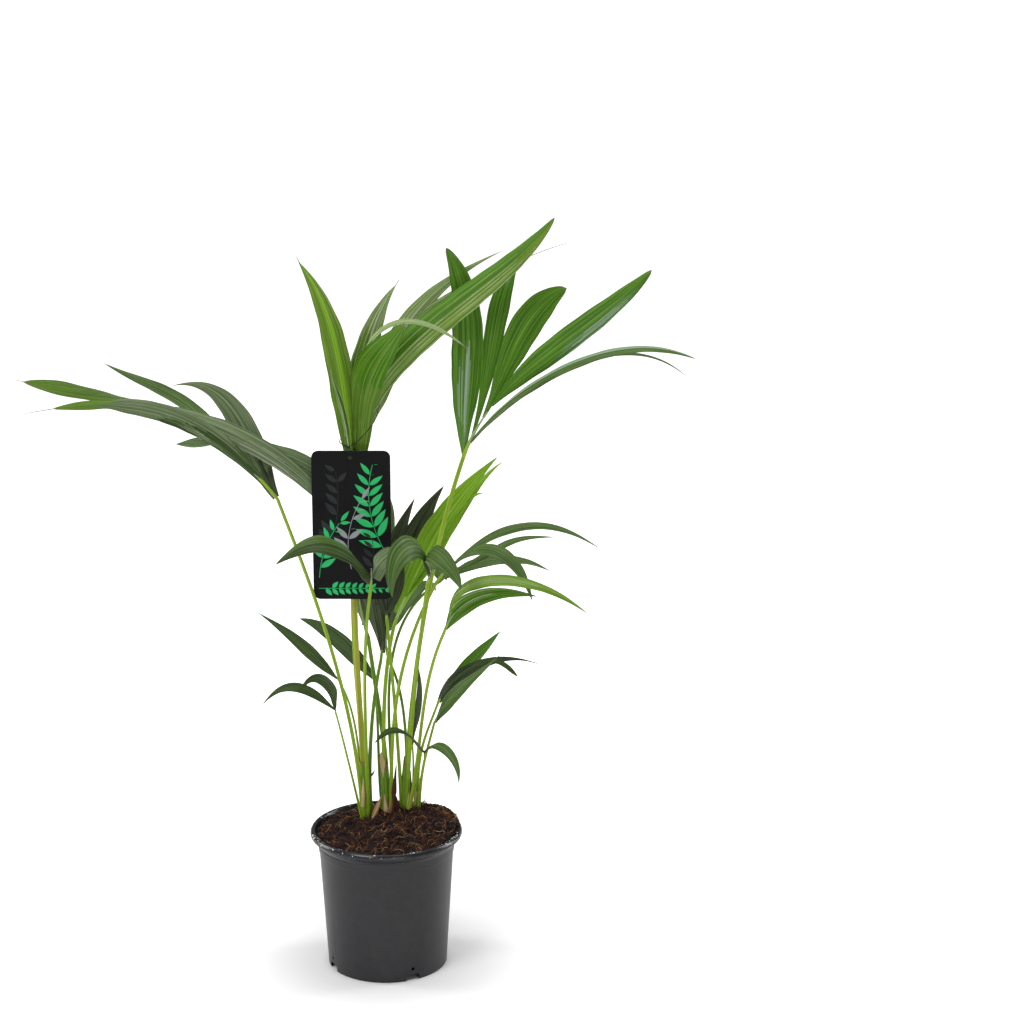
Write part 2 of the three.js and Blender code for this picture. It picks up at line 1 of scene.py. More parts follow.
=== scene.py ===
"""A kentia palm in its nursery pot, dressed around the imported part.

Places in the tables are millimetres in the part's frame: +Z up, the front at -Y, the origin on the
ground under the middle of the pot. MM turns them into metres."""
import math
import random

import bmesh
import bpy
from mathutils import Matrix, Vector, noise


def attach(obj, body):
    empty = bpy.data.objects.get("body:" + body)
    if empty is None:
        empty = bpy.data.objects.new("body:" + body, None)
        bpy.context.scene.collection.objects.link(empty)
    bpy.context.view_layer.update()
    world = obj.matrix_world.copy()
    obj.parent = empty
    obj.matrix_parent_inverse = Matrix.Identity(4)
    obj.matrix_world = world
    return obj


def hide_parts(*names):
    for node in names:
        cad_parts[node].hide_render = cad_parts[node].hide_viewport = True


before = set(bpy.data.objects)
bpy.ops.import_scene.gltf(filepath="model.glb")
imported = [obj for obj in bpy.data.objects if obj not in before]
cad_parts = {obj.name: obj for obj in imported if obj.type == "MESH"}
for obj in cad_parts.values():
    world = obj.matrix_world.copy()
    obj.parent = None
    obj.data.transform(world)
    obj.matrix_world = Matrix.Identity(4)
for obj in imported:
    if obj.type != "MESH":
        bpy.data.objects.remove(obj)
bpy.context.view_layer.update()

MM = 0.001
UP = Vector((0, 0, 1))
FRONT = Vector((0, -1, 0))
RIGHT = Vector((1, 0, 0))
FULL_TURN = 2 * math.pi
BODY = "root"

POT = dict(
    height=168, rim_radius=90, rim_depth=15, collar_radius=81, ledge_drop=27, ledge=0.8, base_radius=70.5,
    wall=2, skirt=9, pad_radius=30, notches=4, notch_width=17, notch_turn=27, drain_radius=2,
    around=160, wobble=0.35, shine_from=3,
)
# Dried soil and scuffs on the rim: the way each lot faces, its spread, and the number of flakes.
DUST = [(-66, 8, 46), (-36, 3, 16), (24, 7, 52), (66, 10, 56), (0, 45, 30), (140, 30, 40), (-150, 30, 30)]
FLAKE = dict(length=(0.5, 2.5), width=(0.35, 1.25), lean=0.9, rough=(0.6, 1.2), lift=0.12, sides=7)

SOIL = dict(
    edge=163, crown=171, radius=82, rings=90, around=280, skirt=12, red_above=1.4,
    crumbs=5200, crumb_size=(0.5, 3.1, 3),
)
# The bank that the soil climbs towards the right, and the mound against the rim there.
BANK = dict(rise=5, slope=(0.85, 0.5), start=-15, run=75, mound=9, mound_at=(78, -2), mound_area=180)
# The soil's lumps: the size of each kind, its layer of the noise, and its height.
LUMPS = [(17, 0, 4.2), (8, 9, 4.8), (3.6, 21, 2.2), (1.7, 33, 1.0)]
SOIL_TONES = ["soil_dark"] * 3 + ["soil_red"] * 2 + ["fibre_brown"]
# Coir fibres: how many are short and how many long, the steps of each in millimetres and their number,
# how far they hump up, and the radii and finishes they are drawn from.
COIR = dict(
    short=760, short_step=(1.0, 2.2), short_steps=(6, 14), long=40, long_step=(2.4, 4.2), long_steps=13,
    hump=(0, 5), curl=0.45, bend=0.16, radii=[0.13, 0.17, 0.22, 0.3],
)
COIR_TONES = ["fibre_tan", "fibre_orange"] + ["fibre_brown"] * 3 + ["fibre_dark"]
# Soil spilt on the rim at the right: the way its crumbs and its fibres lie, their spread and number.
SPILT_CRUMBS = dict(
    turn=32, spread=17, count=1500, heap=26, reach=(86, 80), height=(0, 5.5, 1.5), size=(0.5, 2.2),
)
SPILT_CRUMB_TONES = ["soil_dark", "soil_dark", "soil_red", "fibre_brown"]
SPILT_FIBRES = dict(
    turn=24, spread=16, count=90, places=8, reach=(76, 86), lift=(2, 7), step=1.5, radii=[0.15, 0.2, 0.28],
)
SPILT_FIBRE_TONES = ["fibre_tan", "fibre_orange", "fibre_brown", "fibre_brown"]

TAG = dict(left=-79.5, top=630, front=-12.4, width=90, height=176, thickness=0.8, corner=8)
HOLE = dict(radius=2.2, from_left=44.5, drop=8)
PRINT = dict(lift=0.04, layer=0.002, twig=0.35, leaf_turn=48)
# The printed twigs: where each starts on the card, its lean, length and bend, its pairs of leaves, their
# length and width, and the ink.
SPRIGS = [
    (14, 50, 66, 104, 34, 8, 26, 9.5, "print_dim"),
    (86, 52, 122, 112, -48, 9, 29, 9, "print_green"),
    (44, 36, 104, 84, -46, 7, 24, 7.5, "print_grey"),
    (7, 26, 86, 70, -34, 6, 22, 7.5, "print_green"),
    (66, 26, 76, 48, 26, 4, 20, 6.5, "print_dim"),
    (6, 13, 0, 76, 0, 10, 11, 5.4, "print_green"),
]
STRING = dict(
    radius=0.6, ply=0.6, ply_offset=0.35, ply_twist=0.5, cuts=14, clear=0.3, knot=(-37, -13, 634),
    loop=[(-26, -16, 642), (-8, -15, 663), (-3, 2, 676), (-5.4, 32, 671), (-33, 29, 646), (-48, 6, 637.5)],
    tail=(-41, -13, 637),
)

# Lights: name, place, target, size and power. The camera stands in front and looks down on the palm.
LIGHTS = [
    ("top", (0.1, 0.3, 2.6), (0, 0, 0.5), (2.2, 2.2), 32),
    ("key", (-1.5, -1.9, 2.2), (0, 0, 0.5), (1.3, 1.3), 34),
    ("front", (1.1, -3.0, 1.3), (0, 0, 0.45), (1.6, 1.6), 8),
    ("low", (0.2, -2.2, 0.12), (0, 0, 0.16), (1.8, 0.2), 6),
    ("left", (-2.2, 0.5, 1.0), (0, 0, 0.4), (0.7, 1.8), 26),
    ("right", (2.2, 0.7, 1.0), (0, 0, 0.4), (0.7, 1.8), 26),
]
CAMERA = dict(place=(0.1488, -3.016, 1.374), pitch=15.2, lens=95.8, sensor=36, far=100)
# The floor's light towards the camera: its grey at each distance from the pot, in metres. It dims towards the
# pot's foot, which paints a shadow round the pot.
FLOOR = dict(reach=40, glow=[(0.066, "000000"), (0.08, "707070"), (0.2, "a8a8a8"), (0.9, "ffffff")])
WORLD_LIGHT = 0.2

# Each stem: its foot, the frond whose stalk its shaft of sheaths follows, the shaft's radius at the soil
# and at its top, and its top. Then its dry scales: the place of each one's foot and of its tip, the way
# it faces, its width, its finish, and for some the share of its height at which it is widest.
STEMS = {
    "stem_left": ((-25, 29), "crown", 6.0, 4.6, 246, [
        ((-29, 19, 186), (-27, 19, 224), (-0.3, -1), 4.6, "dry_sheath"),
        ((-19, 19, 165), (-6, 18, 201), (0.2, -1), 6.5, "sheath_tan", 0.3),
        ((-18, 18, 168), (-8, 17.5, 194), (0.2, -1), 2.6, "dry_sheath"),
        ((-17.5, 26, 222), (-14.5, 26, 230), (0.4, -1), 3, "dry_spike", 0.4),
        ((-30, 36, 160), (-31, 38, 190), (-0.6, 0.8), 10, "dry_sheath"),
    ]),
    "stem_middle": ((-1, 45), "inner_right", 6.2, 4.0, 232, [
        ((-4.6, 37, 216), (-7, 37, 249), (-0.2, -1), 6.4, "dry_sheath", 0.62),
        ((-1, 34, 160), (-3.4, 34, 197), (-0.2, -1), 7, "dry_sheath"),
        ((2.5, 33.5, 160), (4, 33, 191), (0.3, -1), 5.5, "sheath_tan", 0.35),
        ((7, 33, 182), (11, 33, 236), (0.15, -1), 5.4, "dry_spike", 0.3),
        ((7, 34, 160), (7.4, 34, 186), (0.15, -1), 6, "dry_spike", 0.3),
        ((1, 52, 160), (2, 55, 194), (0.2, 1), 11, "dry_sheath"),
    ]),
    "stem_right": ((20, 50), "tall_right", 7.0, 4.2, 236, [
        ((12, 36, 162), (10, 36, 195), (0, -1), 7, "dry_spike", 0.45),
        ((13.5, 34, 160), (15, 34, 178), (0.1, -1), 4, "sheath_tan", 0.4),
        ((27, 41, 192), (27.6, 41, 224), (0.3, -1), 4, "dry_spike", 0.4),
        ((24, 38, 166), (25.4, 38, 198), (0.3, -1), 4.2, "dry_sheath"),
        ((22, 58, 160), (23, 61, 190), (0.3, 1), 11, "dry_sheath"),
    ]),
    "stem_side": ((35, 56), "side_upper", 4.2, 2.6, 200, [
        ((33.4, 47, 160), (33, 47, 203), (-0.1, -1), 7.6, "dry_sheath"),
        ((38, 48, 160), (36, 48, 188), (0.2, -1), 5, "sheath_tan"),
        ((40, 60, 160), (43, 61, 180), (0.9, 0.3), 8, "sheath_brown"),
    ]),
}
SHAFT = dict(foot_height=163, sheath_top=215, around=28, steps=26, lip=7, wall=0.93, dark=0.45)
# A stalk's radius at its foot inside the sheath, at the sheath's top and above it, as shares of the radius
# at its neck, and how far the side that faces the stem is flattened. Then a rib's: its shares of that
# radius at its start, bend and end, and where on it the bend and the end lie. Last, a dry thread's radii.
# cuts are the sides and the steps of each tube.
STALK = dict(foot=1.75, collar=1.22, above=1.2, channel=0.18, foot_cuts=(14, 14), cuts=(14, 40), tuck=8)
RIB = dict(radii=(1, 0.8, 0.35), shares=(0, 0.3, 0.85), cuts=((10, 6), (10, 12)))
THREAD = dict(radii=(0.5, 0.2), cuts=(5, 12))

# What a leaflet has unless its row says otherwise, and what the blades of all have alike.
PLAIN_LEAF = dict(
    foot=0.3, widest=0.42, point=0.9, fold=0.16, waist=(0, 0, 1), twist=0, dry=0.015,
    turns=(2, None), patches=(), kind=None, halves=None, thread=None,
)
BLADE = dict(
    row=4, least_rows=18, sheet=0.3, foot_fold=0.8, foot_share=0.3, tip_fold=0.25, tip_share=0.25,
    pleats=0.035, pleat_reach=0.17, wave=(45, 70), ripple=0.05, waver=0.015, midrib=0.8, midrib_reach=0.1,
    vein=0.02, streaks=0.35, glints=30, ragged=0.07, patch_end=0.15,
)
# A leaflet's veins, as shares of its half width, and the places across it: each vein has a narrow strip.
VEINS = (0.0, 0.36, 0.7)
HALF_ACROSS = [0.035, 0.12, 0.2, 0.28, 0.345, 0.375, 0.45, 0.54, 0.62, 0.685, 0.715, 0.8, 0.9, 1.0]
ACROSS = [-x for x in reversed(HALF_ACROSS)] + HALF_ACROSS


def leaf(at, by, past, tip, width, face, **looks):
    return dict(PLAIN_LEAF, at=at, by=(by, past), tip=tip, width=width, face=face, **looks)


def frond(stem, foot, by, neck, thick, kind, tone, rib, *leaves, stalk="stalk_lime"):
    return dict(stem=stem, stalk_places=[(*foot, SHAFT["foot_height"]), *by, neck], thick=thick, kind=kind,
                tone=tone, rib=[neck, *rib], leaves=leaves, stalk=stalk)


# Each frond, from the stem it grows on: the places along its stalk (foot, by and neck), the stalk's radius
# at its neck, the leaf's kind, the tone of its leaflets, and the places of its own rib after the neck.
# A leaf starts at a share of the rib, passes through two places and ends at its tip. face turns its
# upper side from the sky (0) to the front (90), and twist is added towards the tip. foot, widest and
# point shape its outline, waist draws it in at a place, and fold is how far its halves drop. kind is its
# tone where it isn't the frond's, and halves are the finishes left and right of the middle vein. turns
# gives both sides, or each side, another finish from a share of the length on. patches paints strips of
# another finish: from and to across, from and to along, and the share of the veins that it takes. dry is
# the share of the length that is dry at the tip, and thread is where a dry thread from the tip ends.
FRONDS = {
    "far_left": frond("stem_left", (-29, 28), [(-47, 8, 324), (-81, -20, 467)], (-116, -40, 580), 1.9, "old",
        "satin", [(-151, -46, 622), (-193, -46, 654)],
        leaf(0.1, (-194, -54, 662), (-275, -46, 689), (-370, -18, 680), 21, 75, waist=(0.78, 0.4, 0.06),
             point=0.6, turns=(0.77, "inner_upper"), kind="arching",
             # The low_upper strips on this blade are painted shade where it lies in shadow, and the
             # sheen_under strip near its tip is a painted highlight.
             patches=[(-1.1, -0.5, -0.3, 0.36, "low_upper", 0.9), (-0.5, 0.2, -0.3, 0.44, "low_upper", 0.85),
             (0.2, 1.1, -0.3, 0.26, "low_upper", 0.8), (-1.1, -0.6, 0.3, 0.62, "low_upper", 0.95),
             (-0.6, -0.25, 0.36, 0.58, "low_upper", 0.85), (-0.25, 0.1, 0.4, 0.5, "low_upper", 0.7),
             (-0.4, 0.5, 0.84, 0.96, "sheen_under", 0.35)], dry=0.004, thread=(-408, -12, 672)),
        leaf(0.38, (-210, -2, 674), (-261, 16, 700), (-318, 30, 723), 15, 50),
        leaf(0.04, (-146, -4, 632), (-181, 8, 687), (-243, 20, 697), 29, 55, point=1.5, kind="arching",
             # Its shade_upper strips are painted shade.
             patches=[(-1.1, -0.3, -0.3, 0.22, "shade_upper"), (-0.3, 0.4, -0.3, 0.3, "shade_upper"),
             (0.4, 1.1, -0.3, 0.26, "shade_upper")]),
        leaf(0.9, (-203, -28, 644), (-218, -16, 640), (-234, -5, 636), 12, 60)),
    "arch_left": frond("stem_left", (-24, 36), [(-29, 42, 247), (-35, 36, 342)], (-37, 24, 440), 2.2, "old",
        "arching", [(-41, 18, 494), (-47, 8, 546)],
        leaf(0.9, (-125, -20, 628), (-245, -22, 683), (-407, 10, 705), 30, 85, widest=0.8, twist=-178,
             point=0.75, dry=0.004, turns=(0.68, "inner_upper"), thread=(-415, 12, 707),
             patches=[(-1.1, 0.2, 0.15, 0.5, "arching_under", 0.5),
             # The sheen_under strip near its tip is a painted highlight.
             (-0.3, 0.6, 0.74, 0.9, "sheen_under", 0.35)]),
        leaf(0.5, (-66, 6, 592), (-118, -10, 628), (-175, -14, 658), 22, 60)),
    "crown": frond("stem_left", (-25, 30), [(-30, 26, 290), (-34, 18, 410)], (-33, 10, 541), 3, "young",
        "crown", [(-31, 9, 590), (-27, 8, 636)],
        leaf(0.6, (-40, 2, 690), (-55, -10, 775), (-89, -20, 849), 33, 80, fold=0.22,
             patches=[(-0.2, 0.16, -0.3, 1.1, "lime_upper")], thread=(-90, -24, 855)),
        leaf(0.5, (-40, -12, 667), (-47, -20, 698), (-55, -26, 730), 14, 75, fold=0.12,
             # Its pale vein-coloured strips, along one edge and along a fold, are painted highlights.
             patches=[(0.72, 1.1, 0, 1.1, "striped_under_vein"), (-0.5, -0.3, 0, 1.1, "striped_under_vein"),
             (-1.1, -0.72, 0.1, 1.1, "striped_under")], foot=0.6, widest=0.35, kind="glossy"),
        leaf(0.9, (-23, 16, 697), (-10, 26, 759), (18, 36, 813), 32, 80, widest=0.38, point=1,
             patches=[(-1.1, -0.45, 0.55, 1.1, "inner_under"), (-1.1, 1.1, 0.6, 1.1, "striped_under", 0.6)],
             thread=(21, 36, 819), kind="striped"),
        leaf(0.9, (-18, 2, 741), (32, -14, 780), (102, -30, 749), 6, 70, widest=0.68, fold=0.3,
             turns=(0.3, "striped_under"), dry=0.05, foot=0.12),
        leaf(0.98, (22, 10, 735), (113, 20, 811), (197, 30, 890), 33, 80, fold=0.35, foot=0.45, point=0.65,
             halves=("glossy_upper", "crown_upper"),
             patches=[(0.05, 1.1, -0.2, 0.93, "striped_upper_vein", 0.42),
             (-0.5, 0.05, -0.2, 0.9, "striped_upper_streak", 0.25)]),
        leaf(0.98, (5, 22, 714), (44, 44, 784), (142, 70, 847), 28, 80, widest=0.36, point=1.2,
             turns=(0.5, "striped_under"), kind="striped",
             patches=[(-1.1, 1.1, 0.05, 0.95, "striped_under_vein", 0.3)]),
        leaf(0.98, (14, 28, 736), (73, 52, 791), (167, 68, 839), 15, 80, widest=0.4,
             turns=(0.42, "striped_under"), thread=(212, 70, 854), kind="striped",
             patches=[(-1.1, 1.1, 0.05, 0.95, "striped_under_vein", 0.3)]),
        leaf(0.6, (-23, -3, 685), (-9, -14, 731), (28, -14, 777), 46, 75, widest=0.56, point=0.65, foot=0.35,
             kind="inner", patches=[(-1.1, 1.1, 0.4, 1.1, "glossy_upper", 0.8),
             (-1.1, 1.1, -0.2, 0.24, "crown_upper", 0.6)]), stalk="stalk_yellow"),
    "tall_right": frond("stem_right", (19, 50), [(33, 50, 330), (58, 46, 480)], (92.5, 40, 609), 2.4, "young",
        "glossy", [(106, 39, 640), (128, 38, 674)],
        # On these leaflets the sheen strips, and the sheen half of the fifth, are painted highlights: a soft
        # pale gloss.
        leaf(0.05, (97, 44, 701), (97, 46, 781), (74, 40, 854), 37, 80, foot=0.15, fold=0.2,
             patches=[(-0.3, 0.1, 0.1, 0.46, "sheen_under_vein", 0.3),
             (-0.6, -0.2, 0.04, 0.42, "sheen_under", 0.7), (-0.2, 0.3, 0.02, 0.5, "sheen_under", 0.7),
             (-0.66, -0.34, -0.1, 0.4, "sheen_upper", 0.8), (-0.34, 0.04, -0.1, 0.52, "sheen_upper", 0.9),
             (0.04, 0.36, -0.1, 0.34, "sheen_upper", 0.8), (0.2, 1.1, 0.84, 1.1, "sheen_upper", 0.8)],
             point=0.64, widest=0.45),
        leaf(0.4, (122, 50, 713), (135, 64, 783), (155, 80, 826), 24, 60, foot=0.15, widest=0.62, point=0.7,
             waist=(0.14, 0.3, 0.2), patches=[(-1.1, 1.1, 0.78, 1.1, "sheen_upper", 0.8)]),
        leaf(0.75, (141, 52, 712), (169, 66, 765), (212, 80, 800), 36, 70, foot=0.15, widest=0.64, point=0.6,
             waist=(0.12, 0.38, 0.22), fold=0.1),
        leaf(0.95, (178, 30, 724), (242, 20, 776), (306, 10, 834), 28, 75, fold=0.3, widest=0.5, point=0.6,
             foot=0.1, patches=[(0.4, 1.1, 0.45, 0.9, "sheen_under", 0.6),
             (0.2, 1.1, 0.35, 0.95, "sheen_upper", 0.8)]),
        leaf(0.3, (169, 10, 700), (261, -20, 747), (354, -50, 744), 13, 45, fold=0.5, point=0.7,
             halves=("sheen_under", "satin_upper"), kind="satin"),
        leaf(0.3, (176, 6, 702), (266, -12, 742), (349, -20, 714), 7, 30, kind="satin")),
    "inner_right": frond("stem_middle", (-2, 43), [(-4, 43, 237), (-2, 48, 320)], (9, 56, 398), 2.2, "young",
        "lime", [(16, 60, 418), (26, 66, 441)],
        leaf(0.4, (45, 80, 479), (78, 104, 531), (132, 140, 585), 34, 80),
        leaf(0.95, (69, 104, 494), (103, 134, 543), (139, 170, 572), 10, 40),
        leaf(0.8, (64, 90, 486), (89, 112, 529), (118, 130, 543), 9, 40)),
    # Its leaflets take the shade tone, painted shade, and its stalk the deep finish, painted shade for a
    # frond at the back.
    "shade_middle": frond("stem_left", (-20, 36), [(-21, 42, 224), (-17, 50, 291)], (-7, 60, 355), 2, "shade",
        "shade", [(-4, 68, 376), (1, 78, 399)],
        leaf(0.4, (1, 90, 438), (10, 108, 483), (33, 130, 537), 30, 60),
        leaf(0.8, (18, 94, 451), (37, 110, 502), (68, 130, 552), 34, 75),
        leaf(0.2, (-17, 78, 415), (-24, 88, 465), (-22, 100, 525), 26, 60), stalk="stalk_deep"),
    # Its leaflets take the shade tone: painted shade.
    "shade_young": frond("stem_right", (17, 49), [(13, 46, 248), (8, 38, 335)], (2, 30, 418), 1.8, "shade",
        "shade", [(2, 29, 430)],
        leaf(0.4, (-7, 24, 454), (-16, 20, 484), (-22, 24, 508), 20, 70),
        leaf(0.5, (12, 24, 451), (18, 20, 478), (17, 24, 500), 18, 70)),
    # Its stalk takes the deep finish: painted shade for a frond at the back.
    "behind_tag": frond("stem_middle", (-3, 49), [(-2, 54, 226), (-11, 70, 297)], (-23, 88, 375), 2.4, "old",
        "satin", [(-30, 98, 399), (-37, 112, 433)],
        leaf(0.4, (-51, 134, 462), (-65, 170, 514), (-79, 208, 547), 28, 40),
        leaf(0.3, (-10, 122, 448), (0, 140, 506), (-12, 158, 556), 24, 40),
        leaf(0.95, (-43, 144, 478), (-45, 190, 521), (-38, 244, 533), 28, 0), stalk="stalk_deep"),
    # Its stalk takes the deep finish: painted shade for a frond at the back.
    "rear": frond("stem_right", (20, 56), [(22, 64, 219), (18, 80, 287)], (0, 98, 344), 1.6, "old", "satin",
        [(-3, 114, 365), (-1, 138, 382)],
        leaf(0.5, (-20, 168, 402), (-22, 225, 420), (-18, 285, 380), 28, 0),
        leaf(0.95, (6, 195, 410), (17, 245, 418), (26, 305, 377), 30, 0),
        leaf(0.75, (15, 158, 396), (38, 195, 412), (54, 235, 388), 26, 0), stalk="stalk_deep"),
    "front_left": frond("stem_left", (-24, 28), [(-23, 8, 268), (-21, -28, 376)], (-11, -62, 482), 1.8, "old",
        "arching", [(-9, -78, 514)],
        leaf(0.5, (-30, -94, 530), (-64, -114, 550), (-113, -130, 529), 40, 25, foot=0.5, kind="satin",
             halves=("low_upper", "satin_upper")),
        leaf(0.5, (2, -72, 518), (18, -62, 524), (34, -52, 509), 26, 30, foot=0.8)),
    "front_right": frond("stem_right", (23, 46), [(28, 26, 261), (39, -12, 374)], (53, -52, 485), 2, "old",
        "satin", [(60, -64, 509)],
        leaf(0.5, (43, -88, 538), (23, -120, 534), (17, -132, 492), 30, 60, foot=0.35, widest=0.5),
        leaf(0.7, (57, -82, 530), (76, -100, 521), (92, -110, 494), 24, 45, foot=0.4)),
    "reach_right": frond("stem_middle", (4, 41), [(7, 37, 265), (22, 28, 363)], (61, 14, 466), 1.9, "old",
        "satin", [(75, 11, 484), (91, 8, 500)],
        leaf(0.5, (135, 30, 522), (195, 44, 525), (254, 60, 492), 12, 35),
        leaf(0.3, (121, 4, 504), (153, -10, 524), (201, -20, 530), 9, 50),
        leaf(0.8, (119, -18, 516), (151, -38, 504), (172, -56, 464), 17, 40)),
    # Its stalk takes the deep finish: painted shade for a frond at the back.
    "reach_rear": frond("stem_middle", (3, 52), [(2, 68, 259), (8, 88, 362)], (63, 112, 438), 1.6, "old",
        "satin", [(77, 118, 449)],
        leaf(0.5, (110, 140, 454), (154, 160, 452), (196, 175, 432), 17, 30),
        leaf(0.3, (61, 162, 443), (60, 205, 450), (67, 250, 424), 22, 0), stalk="stalk_deep"),
    "low_reach": frond("stem_right", (23, 40), [(38, 16, 256), (49, -8, 340)], (71, -34, 421), 1.8, "young",
        "crown", [(77, -42, 437), (86, -50, 452)],
        leaf(0.1, (91, -40, 453), (126, -28, 465), (179, -16, 458), 21, 60, foot=0.2, fold=0.25, widest=0.36,
             patches=[(-1.1, 0.2, 0.1, 0.8, "striped_under", 0.4)], kind="glossy"),
        leaf(0.6, (96, -64, 484), (158, -86, 497), (236, -102, 462), 15, 50, foot=0.15, fold=0.2,
             patches=[(-0.4, 0.6, 0.2, 0.8, "striped_under", 0.35)])),
    "side_upper": frond("stem_side", (35, 58), [(37, 64, 221), (45, 73, 256)], (60, 82, 295), 1.5, "old",
        "low", [(68, 90, 308)],
        leaf(0.7, (92, 112, 329), (114, 136, 345), (135, 162, 360), 15, 65, kind="glossy"),
        # Its near part takes the shade tone: painted shade on the dark under side it shows.
        leaf(0.05, (94, 94, 330), (146, 102, 344), (207, 108, 320), 18, 55, widest=0.2, point=2.6,
             kind="shade", turns=(0.62, "low_upper", "low_under")),
        leaf(0.9, (111, 80, 346), (138, 70, 348), (156, 60, 335), 6, 55, widest=0.75, point=0.8)),
    "side_lower": frond("stem_side", (36, 54), [(41, 38, 217), (48, 28, 254)], (57, 20, 291), 1.5, "old",
        "arching", [(63, 16, 306)],
        leaf(0.05, (79, 4, 331), (109, -10, 363), (144, -24, 399), 17, 70, kind="satin", fold=0.3,
             widest=0.28, point=2, foot=0.2)),
    "small_front": frond("stem_side", (35, 51), [(37, 34, 198), (43, 17, 232)], (46, 2, 259), 1.2, "old",
        "low", [(47, -4, 268)],
        leaf(0.4, (30, -24, 292), (11, -44, 306), (-10, -60, 294), 15, 20, foot=0.4),
        leaf(0.4, (62, -20, 278), (80, -38, 269), (87, -54, 243), 12, 30, kind="satin")),
    "side_left_slim": frond("stem_left", (-28, 36), [(-33, 52, 222), (-40, 62, 278)], (-57, 72, 324), 1.3,
        "old", "low", [(-62, 75, 332)],
        leaf(0.4, (-85, 86, 349), (-116, 100, 373), (-160, 120, 398), 15, 60, widest=0.45, point=1.15,
             foot=0.12)),
    # Its stalk takes the deep finish: painted shade for a frond at the back.
    "side_left_broad": frond("stem_middle", (-6, 54), [(-11, 66, 218), (-13, 82, 270)], (-17, 96, 317), 1.5,
        "old", "low", [(-21, 102, 328)],
        leaf(0.4, (-45, 120, 345), (-75, 140, 366), (-111, 162, 376), 20, 55,
             point=0.75), stalk="stalk_deep"),
    "small_left": frond("stem_left", (-28, 20), [(-36, -2, 216), (-46, -22, 276)], (-55, -38, 325), 1.2,
        "old", "low", [(-55, -42, 333)],
        leaf(0.4, (-57, -52, 357), (-74, -66, 376), (-94, -78, 359), 15, 80, widest=0.3, point=1, foot=0.2),
        leaf(0.4, (-81, -34, 347), (-111, -30, 353), (-142, -26, 328), 12, 50, foot=0.15, widest=0.5,
             point=1.05)),
    # Its leaflets take the shade tone: painted shade.
    "sliver": frond("stem_right", (24, 56), [(29, 64, 190), (30, 72, 215)], (29, 80, 239), 1.1, "shade",
        "shade", [(30, 84, 248)],
        leaf(0.3, (35, 92, 276), (38, 100, 305), (35, 112, 334), 12, 60)),
}


def lerp(a, b, t):
    return a + (b - a) * t


def eased(t):
    t = min(1.0, max(0.0, t))
    return t * t * (3 - 2 * t)


def mostly_first(rng, first, other, power=2):
    """A size drawn between two, the higher the power the more often near the first."""
    return lerp(first, other, rng.random() ** power)


def toward(turn):
    """The level direction at an angle from the right, anticlockwise from above."""
    return Vector((math.cos(turn), math.sin(turn), 0))


def even_turns(count):
    return [FULL_TURN * k / count for k in range(count)]


def ring(centre, side, back, reach, sides):
    """Places round a centre. reach is their distance from it, or a function of the angle."""
    places = []
    for turn in even_turns(sides):
        far = reach(turn) if callable(reach) else reach
        places.append(centre + (side * math.cos(turn) + back * math.sin(turn)) * far)
    return places


class Through:
    """The curve through evenly spaced places: of the second degree for three, of the third for four."""

    def __init__(self, places):
        self.places = [Vector(p) for p in places]

    def at(self, t):
        last = len(self.places) - 1
        point = Vector((0, 0, 0))
        for i, place in enumerate(self.places):
            point += place * math.prod((t * last - j) / (i - j) for j in range(last + 1) if j != i)
        return point

    def along(self, t, step=1e-4):
        return (self.at(t + step) - self.at(t - step)).normalized()

    def frame_at(self, t):
        """The place at a share, and the directions along it, to its side and to its back."""
        along = self.along(t)
        side = along.cross(FRONT).normalized()
        return self.at(t), along, side, side.cross(along)

    def length(self, start=0.0, end=1.0, steps=24):
        places = [self.at(lerp(start, end, k / steps)) for k in range(steps + 1)]
        return sum((b - a).length for a, b in zip(places, places[1:]))

    def share_at(self, height):
        """The share at which a rising curve reaches a height."""
        low, high = 0.0, 1.0
        for _ in range(30):
            middle = (low + high) / 2
            low, high = (middle, high) if self.at(middle).z < height else (low, middle)
        return low


def add_object(name, data):
    made = bpy.data.objects.new(name, data)
    bpy.context.scene.collection.objects.link(made)
    return made


def reshape(mesh, change):
    """Runs one change on a whole mesh."""
    shape = bmesh.new()
    shape.from_mesh(mesh)
    change(shape)
    shape.to_mesh(mesh)
    shape.free()


